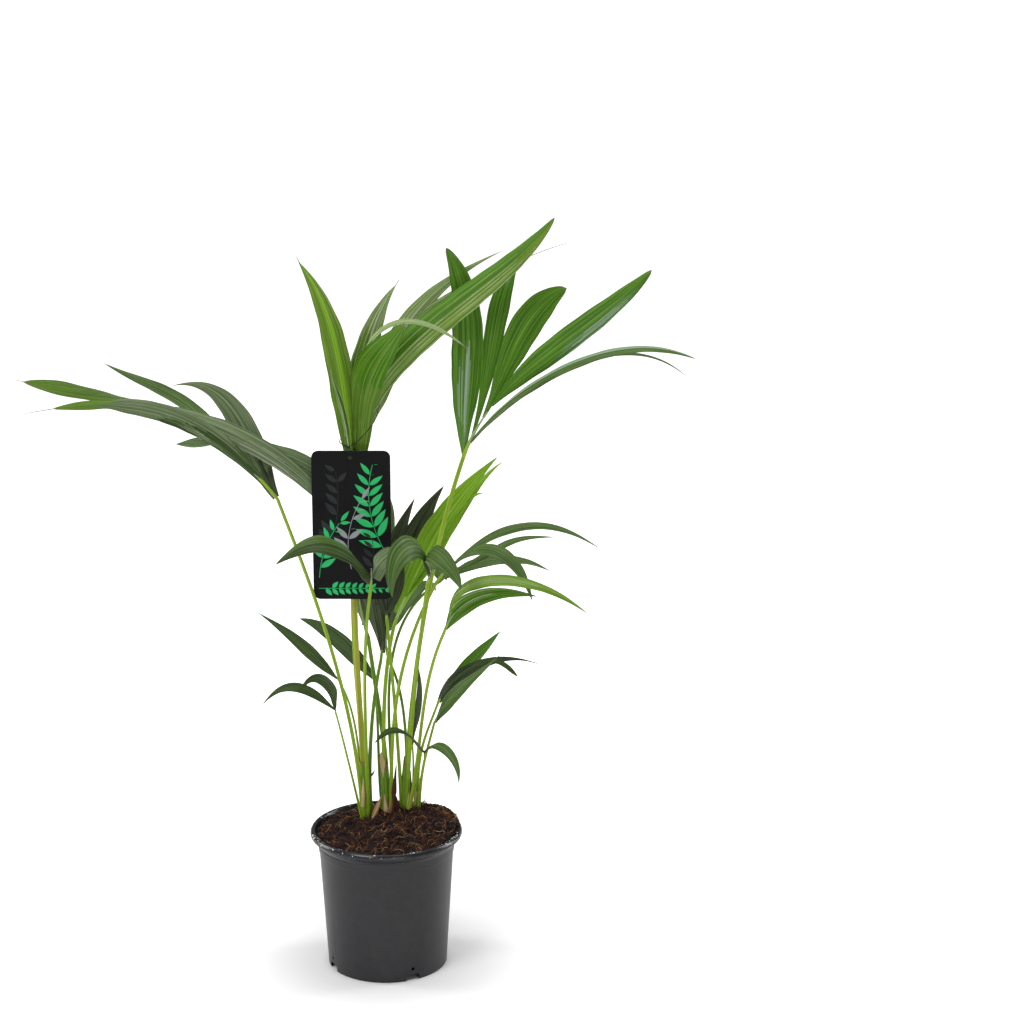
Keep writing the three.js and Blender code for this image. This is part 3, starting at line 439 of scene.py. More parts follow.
class Skin:
    """Gathers faces with their finish and their place in the grain, and makes them one piece."""

    def __init__(self, name):
        self.name = name
        self.finishes, self.places, self.faces, self.grain, self.finish = [], [], [], [], []

    def face(self, corners, finish, grain=None, turned=False):
        grain = grain or [(0, 0)] * len(corners)
        if finish not in self.finishes:
            self.finishes.append(finish)
        self.faces.append(corners[::-1] if turned else corners)
        self.grain.append(grain[::-1] if turned else grain)
        self.finish.append(self.finishes.index(finish))

    def sheet(self, rows, grain, finish, round_about=False, turned=False):
        """Quads between rows of places. grain holds each place's position across and along the fibres,
        and finish is a name, or a function of row and column. turned faces them the other way."""
        first, width = len(self.places), len(rows[0])
        for row in rows:
            self.places.extend(row)
        for r in range(len(rows) - 1):
            for c in range(width if round_about else width - 1):
                spots = [(r, c), (r, c + 1), (r + 1, c + 1), (r + 1, c)]
                corners = [first + a * width + b % width for a, b in spots]
                named = finish(r, c) if callable(finish) else finish
                self.face(corners, named, [grain(a, b) for a, b in spots], turned)

    def cap(self, start, count, centre, finish, turned=False):
        """A fan that closes a ring whose places begin at start."""
        middle = len(self.places)
        self.places.append(centre)
        for c in range(count):
            self.face([start + c, start + (c + 1) % count, middle], finish, turned=turned)

    def mesh(self):
        made = bpy.data.meshes.new(self.name)
        made.from_pydata([tuple(p * MM) for p in self.places], [], self.faces)
        return made

    def piece(self, node, smooth=45, weld=False):
        mesh = self.mesh()
        for name in self.finishes:
            mesh.materials.append(MATERIALS[name])
        layer = mesh.uv_layers.new(name="grain")
        layer.data.foreach_set("uv", [value for face in self.grain for place in face for value in place])
        mesh.polygons.foreach_set("material_index", self.finish)
        mesh.polygons.foreach_set("use_smooth", [True] * len(self.faces))
        mesh.validate()
        if weld:
            reshape(mesh, lambda shape: bmesh.ops.remove_doubles(shape, verts=shape.verts, dist=1e-6))
        mesh.set_sharp_from_angle(angle=math.radians(smooth))
        made = add_object(self.name, mesh)
        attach(made, BODY)
        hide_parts(node)
        return made


def tube(skin, curve, shares, radii, finish, cuts, rng, power=1, channel=0.0, ends=(True, True)):
    """A round stalk along part of a curve, between two shares of it and two radii. channel flattens the
    side that faces the stem."""
    (start, end), (sides, steps) = shares, cuts
    shift = rng.uniform(0, 50)
    span = curve.length(start, end) / 10
    rows = []

    def reach(turn):
        return radius * (1 - channel * max(0.0, math.sin(turn)) ** 3)

    for k in range(steps + 1):
        centre, _, side, back = curve.frame_at(lerp(start, end, k / steps))
        radius = lerp(*radii, (k / steps) ** power)
        rows.append(ring(centre, side, back, reach, sides))
    first = len(skin.places)
    about = FULL_TURN * lerp(*radii, 0.5 ** power) / 10
    skin.sheet(rows, lambda a, b: (shift + about * b / sides, shift + span * a / steps), finish, True, True)
    if ends[0]:
        skin.cap(first, sides, curve.at(start), finish)
    if ends[1]:
        skin.cap(first + steps * sides, sides, curve.at(end), finish, True)


def rope(skin, places, radius, finish, sides):
    """A tube straight through its places, with each ring turned into the bend."""
    rows, side = [], None
    for i, place in enumerate(places):
        along = (places[min(i + 1, len(places) - 1)] - places[max(i - 1, 0)]).normalized()
        side = side or along.orthogonal().normalized()
        side = (side - along * side.dot(along)).normalized()
        rows.append(ring(place, side, along.cross(side), radius, sides))
    first = len(skin.places)
    skin.sheet(rows, lambda a, b: (b * 0.1, a * 0.1), finish, round_about=True)
    skin.cap(first, sides, places[0], finish, True)
    skin.cap(first + (len(places) - 1) * sides, sides, places[-1], finish)


def smooth_run(places, per):
    """Points along a smooth run through the places, with so many for each stretch."""
    points = [Vector(p) for p in places]
    points = [points[0] * 2 - points[1], *points, points[-1] * 2 - points[-2]]
    run = []
    for a, b, c, d in zip(points, points[1:], points[2:], points[3:]):
        for t in (k / per for k in range(per)):
            bend = (2 * a - 5 * b + 4 * c - d) * t * t + (3 * b - a - 3 * c + d) * t ** 3
            run.append(0.5 * (2 * b + (c - a) * t + bend))
    return run + [points[-2].copy()]


# ---- finishes -----------------------------------------------------------------------------------

def feed(tree, made, inputs):
    """Sets a node's inputs, each to a value or to the output that feeds it."""
    for label, value in inputs.items():
        if isinstance(value, bpy.types.NodeSocket):
            tree.links.new(value, made.inputs[label])
        else:
            made.inputs[label].default_value = value
    return made


def add_node(tree, kind, inputs, **settings):
    made = tree.nodes.new(f"ShaderNode{kind}")
    for key, value in settings.items():
        setattr(made, key, value)
    return feed(tree, made, inputs)


def shader_group(name, inputs, outputs):
    group = bpy.data.node_groups.new(name, "ShaderNodeTree")
    for label, default in inputs.items():
        socket = group.interface.new_socket(name=label, in_out="INPUT", socket_type="NodeSocketFloat")
        socket.default_value = default
    for label in outputs:
        group.interface.new_socket(name=label, in_out="OUTPUT", socket_type="NodeSocketFloat")
    return group, group.nodes.new("NodeGroupInput").outputs, group.nodes.new("NodeGroupOutput")


def product(tree, one, other):
    return add_node(tree, "Math", {0: one, 1: other}, operation="MULTIPLY").outputs[0]


def widened(tree, value, low, high):
    return add_node(tree, "MapRange", {"Value": value, "From Min": low, "From Max": high}).outputs["Result"]


def fibre_group():
    """Fine lines along the leaf or stalk, and slow patches. The grain map is in centimetres."""
    defaults = {"Lines per cm": 14.0, "Stretch": 0.12, "Patches per cm": 0.6}
    group, given, out = shader_group("plant_fibre", defaults, ["Lines", "Patches", "Height"])
    place = add_node(group, "UVMap", {}, uv_map="grain")
    split = add_node(group, "SeparateXYZ", {0: place.outputs["UV"]})

    def pattern(across, along, detail):
        x, y = (product(group, split.outputs[axis], factor) for axis, factor in ((0, across), (1, along)))
        spot = add_node(group, "CombineXYZ", {0: x, 1: y}).outputs[0]
        noise_inputs = {"Scale": 1.0, "Detail": detail, "Vector": spot}
        made = add_node(group, "TexNoise", noise_inputs, noise_dimensions="2D")
        return widened(group, made.outputs["Fac"], 0.3, 0.7)

    lines = pattern(given["Lines per cm"], given["Stretch"], 2.0)
    feed(group, out, {"Lines": lines, "Patches": pattern(given["Patches per cm"], 0.3, 3.0), "Height": lines})
    return group


def grit_group():
    """Grains of two sizes over the surface, in the object's own space."""
    defaults = {"Fine per m": 900.0, "Coarse per m": 120.0}
    group, given, out = shader_group("grit", defaults, ["Fine", "Coarse", "Height"])
    place = add_node(group, "TexCoord", {}).outputs["Object"]

    def grains(scale, detail):
        made = add_node(group, "TexNoise", {"Detail": detail, "Scale": given[scale], "Vector": place})
        return widened(group, made.outputs["Fac"], 0.32, 0.68)

    fine, coarse = grains("Fine per m", 3.0), grains("Coarse per m", 4.0)
    both = add_node(group, "Math", {0: fine, 1: coarse}, operation="ADD").outputs[0]
    feed(group, out, {"Fine": fine, "Coarse": coarse, "Height": both})
    return group


FIBRE, GRIT = fibre_group(), grit_group()
MATERIALS = {}


def parts_of(hex_colour):
    return [int(hex_colour[i:i + 2], 16) for i in (0, 2, 4)]


def linear(hex_colour):
    """A plain colour given as sRGB hex, as linear red, green and blue."""
    shares = [part / 255 for part in parts_of(hex_colour)]
    return [c / 12.92 if c <= 0.04045 else ((c + 0.055) / 1.055) ** 2.4 for c in shares] + [1.0]


def halfway(one, other, share=0.5):
    """A colour between two sRGB hex colours."""
    return "".join(f"{round(lerp(a, b, share)):02x}" for a, b in zip(parts_of(one), parts_of(other)))


def mixed(tree, factor, dark, light):
    """A colour between two, by a value over the surface."""
    dark, light = (linear(colour) if isinstance(colour, str) else colour for colour in (dark, light))
    return add_node(tree, "Mix", {0: factor, 6: dark, 7: light}, data_type="RGBA").outputs[2]


def new_material(name):
    made = bpy.data.materials.new(name)
    made.use_nodes = True
    return made, made.node_tree, made.node_tree.nodes["Principled BSDF"]


def dressed(name, roughness, specular, group, settings, relief, depth, colour):
    """A finish made from a group: colour gives its base colour, and its height raises the surface."""
    MATERIALS[name], tree, shader = new_material(name)
    made = add_node(tree, "Group", settings, node_tree=group)
    raised = add_node(tree, "Bump", {"Strength": relief, "Distance": depth, "Height": made.outputs["Height"]})
    feed(tree, shader, {"Roughness": roughness, "Specular IOR Level": specular,
                        "Base Color": colour(tree, made.outputs), "Normal": raised.outputs["Normal"]})


def fibrous(name, dark, light, patch, roughness, specular=0.5, lines=14.0, stretch=0.12, patches=0.6,
            relief=0.25):
    """A leaf or stalk: fine lines between two colours, and slow patches of a third."""
    def colour(tree, made):
        lined = mixed(tree, made["Lines"], dark, light)
        return mixed(tree, product(tree, made["Patches"], 0.6), lined, patch)

    settings = {"Lines per cm": lines, "Patches per cm": patches, "Stretch": stretch}
    dressed(name, roughness, specular, FIBRE, settings, relief, 0.0003, colour)


def gritty(name, dark, light, roughness, specular=0.5, fine=900.0, coarse=120.0, relief=0.3, depth=0.0004):
    """Soil, plastic or card: two colours in grains of two sizes."""
    def colour(tree, made):
        return mixed(tree, product(tree, made["Fine"], made["Coarse"]), dark, light)

    settings = {"Fine per m": fine, "Coarse per m": coarse}
    dressed(name, roughness, specular, GRIT, settings, relief, depth, colour)


# Each kind of leaflet: the dark, the light and the veins of its upper side, then of its under side.
LEAF_TONES = {
    "crown": "4f721c 769a32 8fae48 687e48 8ca06c bccaa4",
    "inner": "4a6a20 64862e 7e9a44 667c46 879c66 a8b88c",
    "striped": "4c6e20 70903c bccca0 70884a 94ac6c dce4cc",
    "glossy": "335c10 568420 6f9c34 6c8a4c 8ca670 b4c49c",
    # sheen is a painted highlight: the pale glossy reflection put into the colour of the strips it patches.
    "sheen": "446a30 688c54 80a06c 6c8a64 8ea688 9cb296",
    "lime": "68961a 88b82e 9cc444 8ca858 aac278 c8d8a8",
    "satin": "385024 5a763a 748e4e 606e44 808e60 a4b08c",
    "arching": "48583a 70825a 94a37e 68745a 949e84 b6bea6",
    "low": "243618 40562a 5a7038 444e2e 626a42 868c66",
    # shade is painted shade: the near-black green of leaflets that lie in the shade inside the palm.
    "shade": "242c1c 465236 5a6448 323828 50563e 6c7058",
}
# The finishes of stalks and sheaths: dark, light and patches, roughness, and what differs from the plain.
STALK_LINES = dict(specular=0.2, lines=5.0, stretch=0.06, patches=0.4)
FIBROUS = {
    "dry_tip": ("6a5a48", "94826a", "7c6a54", 0.75, {}),
    "stalk_lime": ("749420", "a2c034", "86a82a", 0.4, STALK_LINES),
    "stalk_yellow": ("8c9c2c", "bcc044", "a89c3c", 0.42, STALK_LINES),
    # The deep stalk finish is a darker green: on the stalks of the fronds at the back it is painted shade,
    # and on the sheaths it darkens random strips and their lowest rows.
    "stalk_deep": ("4c7418", "7a9c2c", "5e8420", 0.42, STALK_LINES),
    "sheath_green": ("5a8418", "8cb034", "76962a", 0.5, dict(STALK_LINES, patches=0.5)),
    "sheath_brown": ("7c5630", "a8804c", "6c4828", 0.7, dict(lines=12.0, stretch=0.1, patches=0.5)),
    "dry_sheath": ("c4a070", "eedcb4", "a87c4c", 0.85, dict(lines=18.0, relief=0.6)),
    "sheath_tan": ("a87444", "dcb07c", "8c5a34", 0.85, dict(lines=18.0, relief=0.6)),
    "dry_spike": ("3a160e", "642c1c", "2a100a", 0.8, {}),
}
# The finishes of the pot, the soil, the coir and the tag: dark, light, roughness, grains and relief.
COIR_GRAIN = dict(fine=900.0, coarse=200.0)
CARD_GRAIN = dict(specular=0.15, fine=2500.0, coarse=60.0, relief=0.02, depth=0.0001)
GRITTY = {
    "pot_plastic": ("1f1f22", "2a2a2d", 0.34, dict(fine=1500.0, coarse=90.0, relief=0.06, depth=0.0002)),
    "soil_dark": ("040201", "140a05", 0.95, dict(fine=700.0, coarse=160.0, relief=0.9, depth=0.0012)),
    "soil_red": ("2c110a", "502414", 0.95, dict(COIR_GRAIN, relief=0.6, depth=0.0008)),
    "fibre_orange": ("74401f", "a86434", 0.85, COIR_GRAIN),
    "fibre_tan": ("a47a4e", "d4ac7c", 0.85, COIR_GRAIN),
    "fibre_brown": ("3c1e12", "5c3220", 0.9, COIR_GRAIN),
    "fibre_dark": ("1c0c06", "34190e", 0.9, COIR_GRAIN),
    "pale_dust": ("c4c0b8", "f2f0ec", 0.9, dict(fine=1200.0, coarse=300.0)),
    "pot_rim": ("1c1c1f", "2c2c2f", 0.2, dict(fine=1500.0, coarse=90.0, relief=0.12, depth=0.0003)),
    "pot_scuff": ("6c6c6e", "96969a", 0.7, dict(fine=1200.0, coarse=300.0)),
    "card_black": ("060607", "0b0b0c", 0.5, CARD_GRAIN),
    "print_green": ("2cb868", "38c876", 0.5, CARD_GRAIN),
    "print_grey": ("8c9094", "b4babc", 0.5, CARD_GRAIN),
    "print_dim": ("25282a", "34383a", 0.5, CARD_GRAIN),
    "card_edge": ("6c6c6e", "8a8a8c", 0.6, dict(fine=2500.0, coarse=200.0, relief=0.05, depth=0.0001)),
    "thread_black": ("0a0a0b", "161617", 0.8, dict(fine=2500.0, coarse=400.0, relief=0.4, depth=0.0002)),
}


def make_finishes():
    for kind, tones in LEAF_TONES.items():
        tones = tones.split()
        for side, (dark, light, vein), roughness in (("upper", tones[:3], 0.4), ("under", tones[3:], 0.5)):
            bright = halfway(light, vein)
            for ending, colours in (
                    ("", (dark, light, halfway(dark, light, 0.3))),
                    ("_streak", (halfway(dark, light, 0.4), bright, light)),
                    ("_vein", (bright, vein, light))):
                fibrous(f"{kind}_{side}{ending}", *colours, roughness, specular=0.14, lines=6.0)
    for make, table in ((fibrous, FIBROUS), (gritty, GRITTY)):
        for name, (*colours, roughness, looks) in table.items():
            make(name, *colours, roughness, **looks)


# ---- the palm -----------------------------------------------------------------------------------

def near_vein(x):
    return min(abs(abs(x) - vein) for vein in VEINS)


def leaf_width(leaf, t):
    """A leaflet's width at a share of its length: a narrow foot, a full middle and a long point."""
    narrow, depth, spread = leaf["waist"]
    widest = leaf["widest"]
    full = leaf["width"] * (1 - depth * math.exp(-(((t - narrow) / spread) ** 2)))
    if t < widest:
        return full * lerp(leaf["foot"], 1, math.sin(math.pi / 2 * t / widest))
    rest = (t - widest) / (1 - widest)
    return full * max(0.0, math.cos(math.pi / 2 * rest)) ** leaf["point"]


def leaflet(skin, root, leaf, tone, rng):
    """A pleated leaflet: two thin sheets, folded along the middle vein, closed at the foot."""
    tip = Vector(leaf["tip"])
    curve = Through([root, *leaf["by"], tip])
    chord = (tip - root).normalized()
    level = chord.cross(UP).normalized()
    upper = level.cross(chord)
    facing = level if level.dot(FRONT) > 0 else -level
    length = curve.length()
    rows = max(BLADE["least_rows"], round(length / BLADE["row"]))
    phase = rng.uniform(0, 6.28)
    waves = length / rng.uniform(*BLADE["wave"])
    shift = rng.uniform(0, 80)
    top_rows, low_rows = [], []
    for i in range(rows + 1):
        t = i / rows
        turn = math.radians(leaf["face"] + leaf["twist"] * t * t)
        along, centre = curve.along(t), curve.at(t)
        top = upper * math.cos(turn) + facing * math.sin(turn)
        top.rotate(chord.rotation_difference(along))
        side = along.cross(top)
        half = leaf_width(leaf, t) / 2
        fold = lerp(BLADE["foot_fold"], leaf["fold"], eased(t / BLADE["foot_share"]))
        fold += BLADE["tip_fold"] * eased(1 - (1 - t) / BLADE["tip_share"])
        across = 1 / math.sqrt(1 + max(0.0, fold - leaf["fold"]) ** 2)
        edge = half * across * (1 + BLADE["waver"] * math.sin(3.4 * math.pi * waves * t + phase * 2))
        midrib = BLADE["midrib"] * min(1.0, half / 5) * (1 - 0.6 * t)
        top_row, low_row = [], []
        for x in ACROSS:
            ridge = BLADE["pleats"] * half * max(0.0, 1 - near_vein(x) / BLADE["pleat_reach"])
            wave = math.sin(FULL_TURN * waves * t + phase + (1.7 if x > 0 else 0))
            ripple = BLADE["ripple"] * half * abs(x) ** 3 * wave
            place = centre + side * x * edge + top * (ridge + ripple - abs(x) * half * across * fold)
            thick = BLADE["sheet"] + midrib * math.exp(-(x / BLADE["midrib_reach"]) ** 2)
            top_row.append(place)
            low_row.append(place - top * thick * min(1.0, half / 2 + 0.15))
        top_rows.append(top_row)
        low_rows.append(low_row)

    tone = leaf["kind"] or tone
    finish_on = leaf_finishes(leaf, tone, rows, rng)

    def grain(r, c):
        return (shift + ACROSS[c] * leaf["width"] / 20, shift / 3 + length * r / rows / 10)

    skin.sheet(top_rows, grain, finish_on("upper"), turned=True)
    skin.sheet(low_rows, grain, finish_on("under"))
    for c in (0, len(ACROSS) - 1):
        pairs = [[high[c], low[c]] for high, low in zip(top_rows, low_rows)]
        skin.sheet(pairs, lambda r, b: (shift, shift + length * r / rows / 10), f"{tone}_under", turned=c > 0)
    if leaf["thread"]:
        end = Vector(leaf["thread"])
        middle = tip.lerp(end, 0.5) + curve.along(1) * (end - tip).length * 0.08
        thread = Through([curve.at(0.985), middle, end])
        tube(skin, thread, (0, 1), THREAD["radii"], "dry_tip", THREAD["cuts"], rng)


def leaf_finishes(leaf, tone, rows, rng):
    """The finish of each face of a leaflet: its veins, streaks and patches, some of them painted highlight
    and painted shade, and its dry tip.
    """
    dry = 1 - leaf["dry"]
    halves = leaf["halves"] or (f"{tone}_upper", f"{tone}_upper")
    turns, *turned = leaf["turns"]
    later = [rng.uniform(-BLADE["ragged"], BLADE["ragged"]) for _ in ACROSS]
    streaks = [rng.random() < BLADE["streaks"] for _ in ACROSS]
    column_pick = [rng.random() for _ in range(BLADE["glints"])]

    def upper_tone(t, x):
        for low, high, start, end, other, *share in leaf["patches"]:
            taper = 1 - eased((t - start) / BLADE["patch_end"]) * eased((end - t) / BLADE["patch_end"])
            middle = (low + high) / 2
            if low <= -1 or high >= 1:
                middle = 0 if low < -1 and high > 1 else 1.1 if high > 1 else -1.1
            drawn = not share or column_pick[round(14 * (x + 1))] < share[0]
            if drawn and start < t < end and lerp(low, middle, taper) <= x <= lerp(high, middle, taper):
                return other
        return halves[x > 0]

    def finish_on(side):
        def finish(r, c):
            t = r / rows
            x = (ACROSS[c] + ACROSS[c + 1]) / 2
            if t > dry + later[c] * 0.2:
                return "dry_tip"
            if t > turns + later[c]:
                named = turned[0 if side == "upper" else -1]
            else:
                named = upper_tone(t + later[c] * 0.5, x) if side == "upper" else f"{tone}_under"
            if named.endswith("_vein"):
                return named
            if near_vein(x) < BLADE["vein"]:
                return f"{named}_vein"
            return f"{named}_streak" if streaks[c] else named
        return finish

    return finish_on


def dress_frond(name, plan):
    """A frond in two pieces: its stalk, and its rib with the leaflets."""
    rng = random.Random(name)
    curve, rib = Through(plan["stalk_places"]), Through(plan["rib"])
    thick, tone, finish = plan["thick"], plan["tone"], plan["stalk"]
    stalk = Skin(f"stalk_{name}")
    shares = (curve.share_at(SHAFT["sheath_top"] - STALK["tuck"]), 1.0)
    radii = (thick * STALK["above"], thick)
    tube(stalk, curve, shares, radii, finish, STALK["cuts"], rng, channel=STALK["channel"])
    stalk.piece(f"petiole_{name}")

    skin = Skin(f"leaflets_{name}")
    shares, radii = RIB["shares"], [thick * share for share in RIB["radii"]]
    tube(skin, rib, shares[:2], radii[:2], finish, RIB["cuts"][0], rng, ends=(True, False))
    tube(skin, rib, shares[1:], radii[1:], f"{tone}_under_streak", RIB["cuts"][1], rng, ends=(False, True))
    for leaf in plan["leaves"]:
        leaflet(skin, rib.at(leaf["at"]), leaf, tone, rng)
    skin.piece(f"frond_{name}")


def dress_stems():
    """Each stem's shaft of sheaths, its stalks' feet and the dry scales round it."""
    for name, (place, main_frond, low, high, top, scales) in STEMS.items():
        rng = random.Random(name)
        skin = Skin(f"sheaths_{name}")
        foot = Vector((*place, SHAFT["foot_height"]))
        main = Through(FRONDS[main_frond]["stalk_places"])
        bend, end = (main.at(main.share_at(height)) for height in ((top + foot.z) / 2, top))
        sheath(skin, Through([foot, bend, end]), low, high, rng)
        for plan in FRONDS.values():
            if plan["stem"] != name:
                continue
            curve = Through(plan["stalk_places"])
            end = curve.share_at(SHAFT["sheath_top"] + rng.uniform(-4, 0))
            thick = plan["thick"]
            finish = plan["stalk"] if thick < 2 else "sheath_green"
            radii = (thick * STALK["foot"], thick * STALK["collar"])
            tube(skin, curve, (0, end), radii, finish, STALK["foot_cuts"], rng, power=0.7)
        for one in scales:
            scale(skin, *one, rng=rng)
        skin.piece(name)


def sheath(skin, path, low, high, rng):
    """A leaf sheath wrapped round a stem, open at the front towards its top, with a dry torn lip."""
    around, steps = SHAFT["around"], SHAFT["steps"]
    spin = rng.uniform(-0.4, 0.4)
    rows, inner = [], []
    for k in range(steps + 1):
        share = k / steps
        middle, along, side, back = path.frame_at(share)
        radius = lerp(low, high, share ** 0.8) * lerp(0.72, 1, eased(share / 0.3))
        row = []
        for i in range(around + 1):
            turn = FULL_TURN * i / around + spin
            reach = radius * (1 + 0.05 * math.cos(3 * turn + share * 2))
            lip = SHAFT["lip"] * eased((share - 0.8) / 0.2) * math.cos(turn + 1.2)
            row.append(middle + along * lip + (side * math.cos(turn) + back * math.sin(turn)) * reach)
        rows.append(row)
        inner.append([middle.lerp(p, SHAFT["wall"]) for p in row])
    dark = [rng.random() < SHAFT["dark"] for _ in range(around)]

    def grain(r, c):
        return (FULL_TURN * low / 10 * c / around, r * 0.3)

    def finish(r, c):
        if r >= steps - 1:
            return "sheath_brown"
        return "stalk_deep" if dark[c] or r < 3 else "sheath_green"

    skin.sheet(rows, grain, finish, turned=True)
    skin.sheet(inner, grain, "sheath_green")
    skin.sheet([rows[-1], inner[-1]], grain, "sheath_brown", turned=True)


def scale(skin, foot, tip, face, width, finish, peak=0, rng=None):
    """A dry scale: a thin curved flake that stands against a stem and tapers to a torn point."""
    foot, tip = Vector(foot), Vector(tip)
    out = Vector((*face, 0)).normalized()
    side = out.cross(UP)
    phase = rng.uniform(0, 6)
    height = tip.z - foot.z
    rows = []
    for t in (k / 16 for k in range(17)):
        full = (t / peak) ** 0.8 if t < peak else ((1 - t) / (1 - peak)) ** 0.65
        half = width / 2 * full * (1 + 0.14 * math.sin(8 * t + phase)) + 0.1
        centre = foot.lerp(tip, t) + out * (0.04 * height * t * t)
        curl = 0.4 + 0.2 * math.sin(5 * t + phase)
        row = []
        for x in (-1, -0.66, -0.33, 0, 0.33, 0.66, 1):
            torn = 0.5 * math.sin(13 * x + 5 * t + phase) * t
            row.append(centre + side * half * x - out * (half * curl * x * x) + UP * torn)
        rows.append(row)
    back = [[p - out * 0.3 for p in row] for row in rows]
    shift = rng.uniform(0, 30)

    def grain(r, c):
        return (shift + c * width / 60, shift + r * height / 140)

    skin.sheet(rows, grain, finish, turned=True)
    skin.sheet(back, grain, finish)
    for c in (0, 6):
        skin.sheet([[a[c], b[c]] for a, b in zip(rows, back)], grain, finish, turned=c > 0)


# ---- pot and soil -------------------------------------------------------------------------------

def wall_radius(z):
    """The outer radius of the pot's tapering wall."""
    return lerp(POT["base_radius"], POT["collar_radius"], z / (POT["height"] - POT["rim_depth"]))


def rounded(profile, cuts=4):
    """A profile of (radius, height, rounding) with each corner drawn as an arc."""
    out = []
    for i, (r, z, soft) in enumerate(profile):
        if soft <= 0 or i in (0, len(profile) - 1):
            out.append((r, z))
            continue
        here, before, after = (Vector((*p[:2], 0)) for p in (profile[i], profile[i - 1], profile[i + 1]))
        soft = min(soft, (before - here).length * 0.45, (after - here).length * 0.45)
        start = here + (before - here).normalized() * soft
        end = here + (after - here).normalized() * soft
        for t in (k / cuts for k in range(cuts + 1)):
            p = start * (1 - t) ** 2 + here * 2 * t * (1 - t) + end * t ** 2
            out.append((p.x, p.y))
    return out


def pot_profile():
    """The outline of the pot's wall: from the middle of its underside up the outside, down the inside."""
    wall, skirt, height = POT["wall"], POT["skirt"], POT["height"]
    pad, rim = POT["pad_radius"], POT["rim_radius"]
    under_rim, ledge, floor_top = height - POT["rim_depth"], height - POT["ledge_drop"], skirt + wall
    return rounded([
        (0, 0, 0), (pad, 0, 1), (pad + wall, skirt, 1), (wall_radius(skirt) - wall, skirt, 1),
        (wall_radius(0) - wall, 0, 0.8), (wall_radius(0), 0, 0.8),
        (wall_radius(ledge) - POT["ledge"], ledge, 0.5), (wall_radius(ledge), ledge + POT["ledge"], 0.5),
        (POT["collar_radius"] + 0.4, under_rim - 1, 1.2), (rim - 3.4, under_rim + 5.5, 3),
        (rim, under_rim + 8.5, 2), (rim, under_rim + 12, 1.8), (rim - 2, height, 1.6), (rim - 5, height, 1.6),
        (rim - 7, height - 4, 1.5), (wall_radius(under_rim) - wall, under_rim, 1.5),
        (wall_radius(floor_top) - wall, floor_top, 1), (pad, floor_top, 1), (pad - wall, wall, 1),
        (0, wall, 0),
    ])


def dress_pot():
    """The pot turned from its profile, with the notches and the drains cut out of its foot."""
    profile = pot_profile()
    around, rim_start = POT["around"], POT["height"] - POT["rim_depth"] + POT["shine_from"]
    skin = Skin("nursery_pot")
    rows = []

    def reach(turn):
        return max(r, 0.01) + POT["wobble"] * min(1.0, z / 60) * math.sin(2 * turn + 0.6)

    for r, z in profile:
        rows.append(ring(UP * z, FRONT, RIGHT, reach, around))
    skin.sheet(rows, lambda a, b: (b / around * 50, a),
               lambda r, c: "pot_rim" if profile[r][1] > rim_start else "pot_plastic", True, True)
    pot = skin.piece("pot", smooth=50, weld=True)

    cutter = add_object("foot_cutters", foot_cutters().mesh())
    reshape(cutter.data, lambda shape: bmesh.ops.recalc_face_normals(shape, faces=shape.faces))
    cut = pot.modifiers.new("notches", "BOOLEAN")
    cut.object, cut.operation, cut.solver = cutter, "DIFFERENCE", "EXACT"
    bpy.context.view_layer.update()
    shaped = bpy.data.meshes.new_from_object(pot.evaluated_get(bpy.context.evaluated_depsgraph_get()))
    pot.modifiers.clear()
    pot.data = shaped
    shaped.set_sharp_from_angle(angle=math.radians(50))
    bpy.data.objects.remove(cutter)
    dust_rim([(r, z) for r, z in profile if z > POT["height"] - 6.5 and r > POT["rim_radius"] - 8])


def foot_cutters(depth=6):
    """A bar through the wall for each notch of the foot and for the drain above it."""
    half, top, radius = POT["notch_width"] / 2, POT["skirt"] - 1, POT["drain_radius"]
    drain = POT["skirt"] + 2 * POT["wall"] + radius
    left = [(-half, -3), (-half, top - 3), (-half + 1.2, top - 0.8), (-half + 3.2, top)]
    notch = left + [(-x, z) for x, z in reversed(left)]
    hole = [(radius * math.cos(turn), drain + radius * math.sin(turn)) for turn in even_turns(16)]
    skin = Skin("foot_cutters")
    for k in range(POT["notches"]):
        away = toward(math.radians(POT["notch_turn"] + 360 * k / POT["notches"] - 90))
        for outline in (notch, hole):
            first, count = len(skin.places), len(outline)
            rows = [[away * (POT["base_radius"] + d) + away.cross(UP) * x + UP * z for x, z in outline]
                    for d in (-depth, depth)]
            skin.sheet(rows, lambda a, b: (a, b), "pot_plastic", True)
            skin.face([first + i for i in range(count)], "pot_plastic")
            skin.face([first + count + i for i in range(count)], "pot_plastic", turned=True)
    return skin


def dust_rim(rim):
    dust = Skin("rim_dust")
    rng = random.Random("dust")
    for middle, spread, count in DUST:
        for _ in range(count):
            turn = math.radians(rng.gauss(middle, spread))
            spot = rng.randrange(len(rim) // 6, len(rim) - 1)
            flake(dust, rim[spot], rim[spot + 1], turn, rng)
    dust.piece("pot")


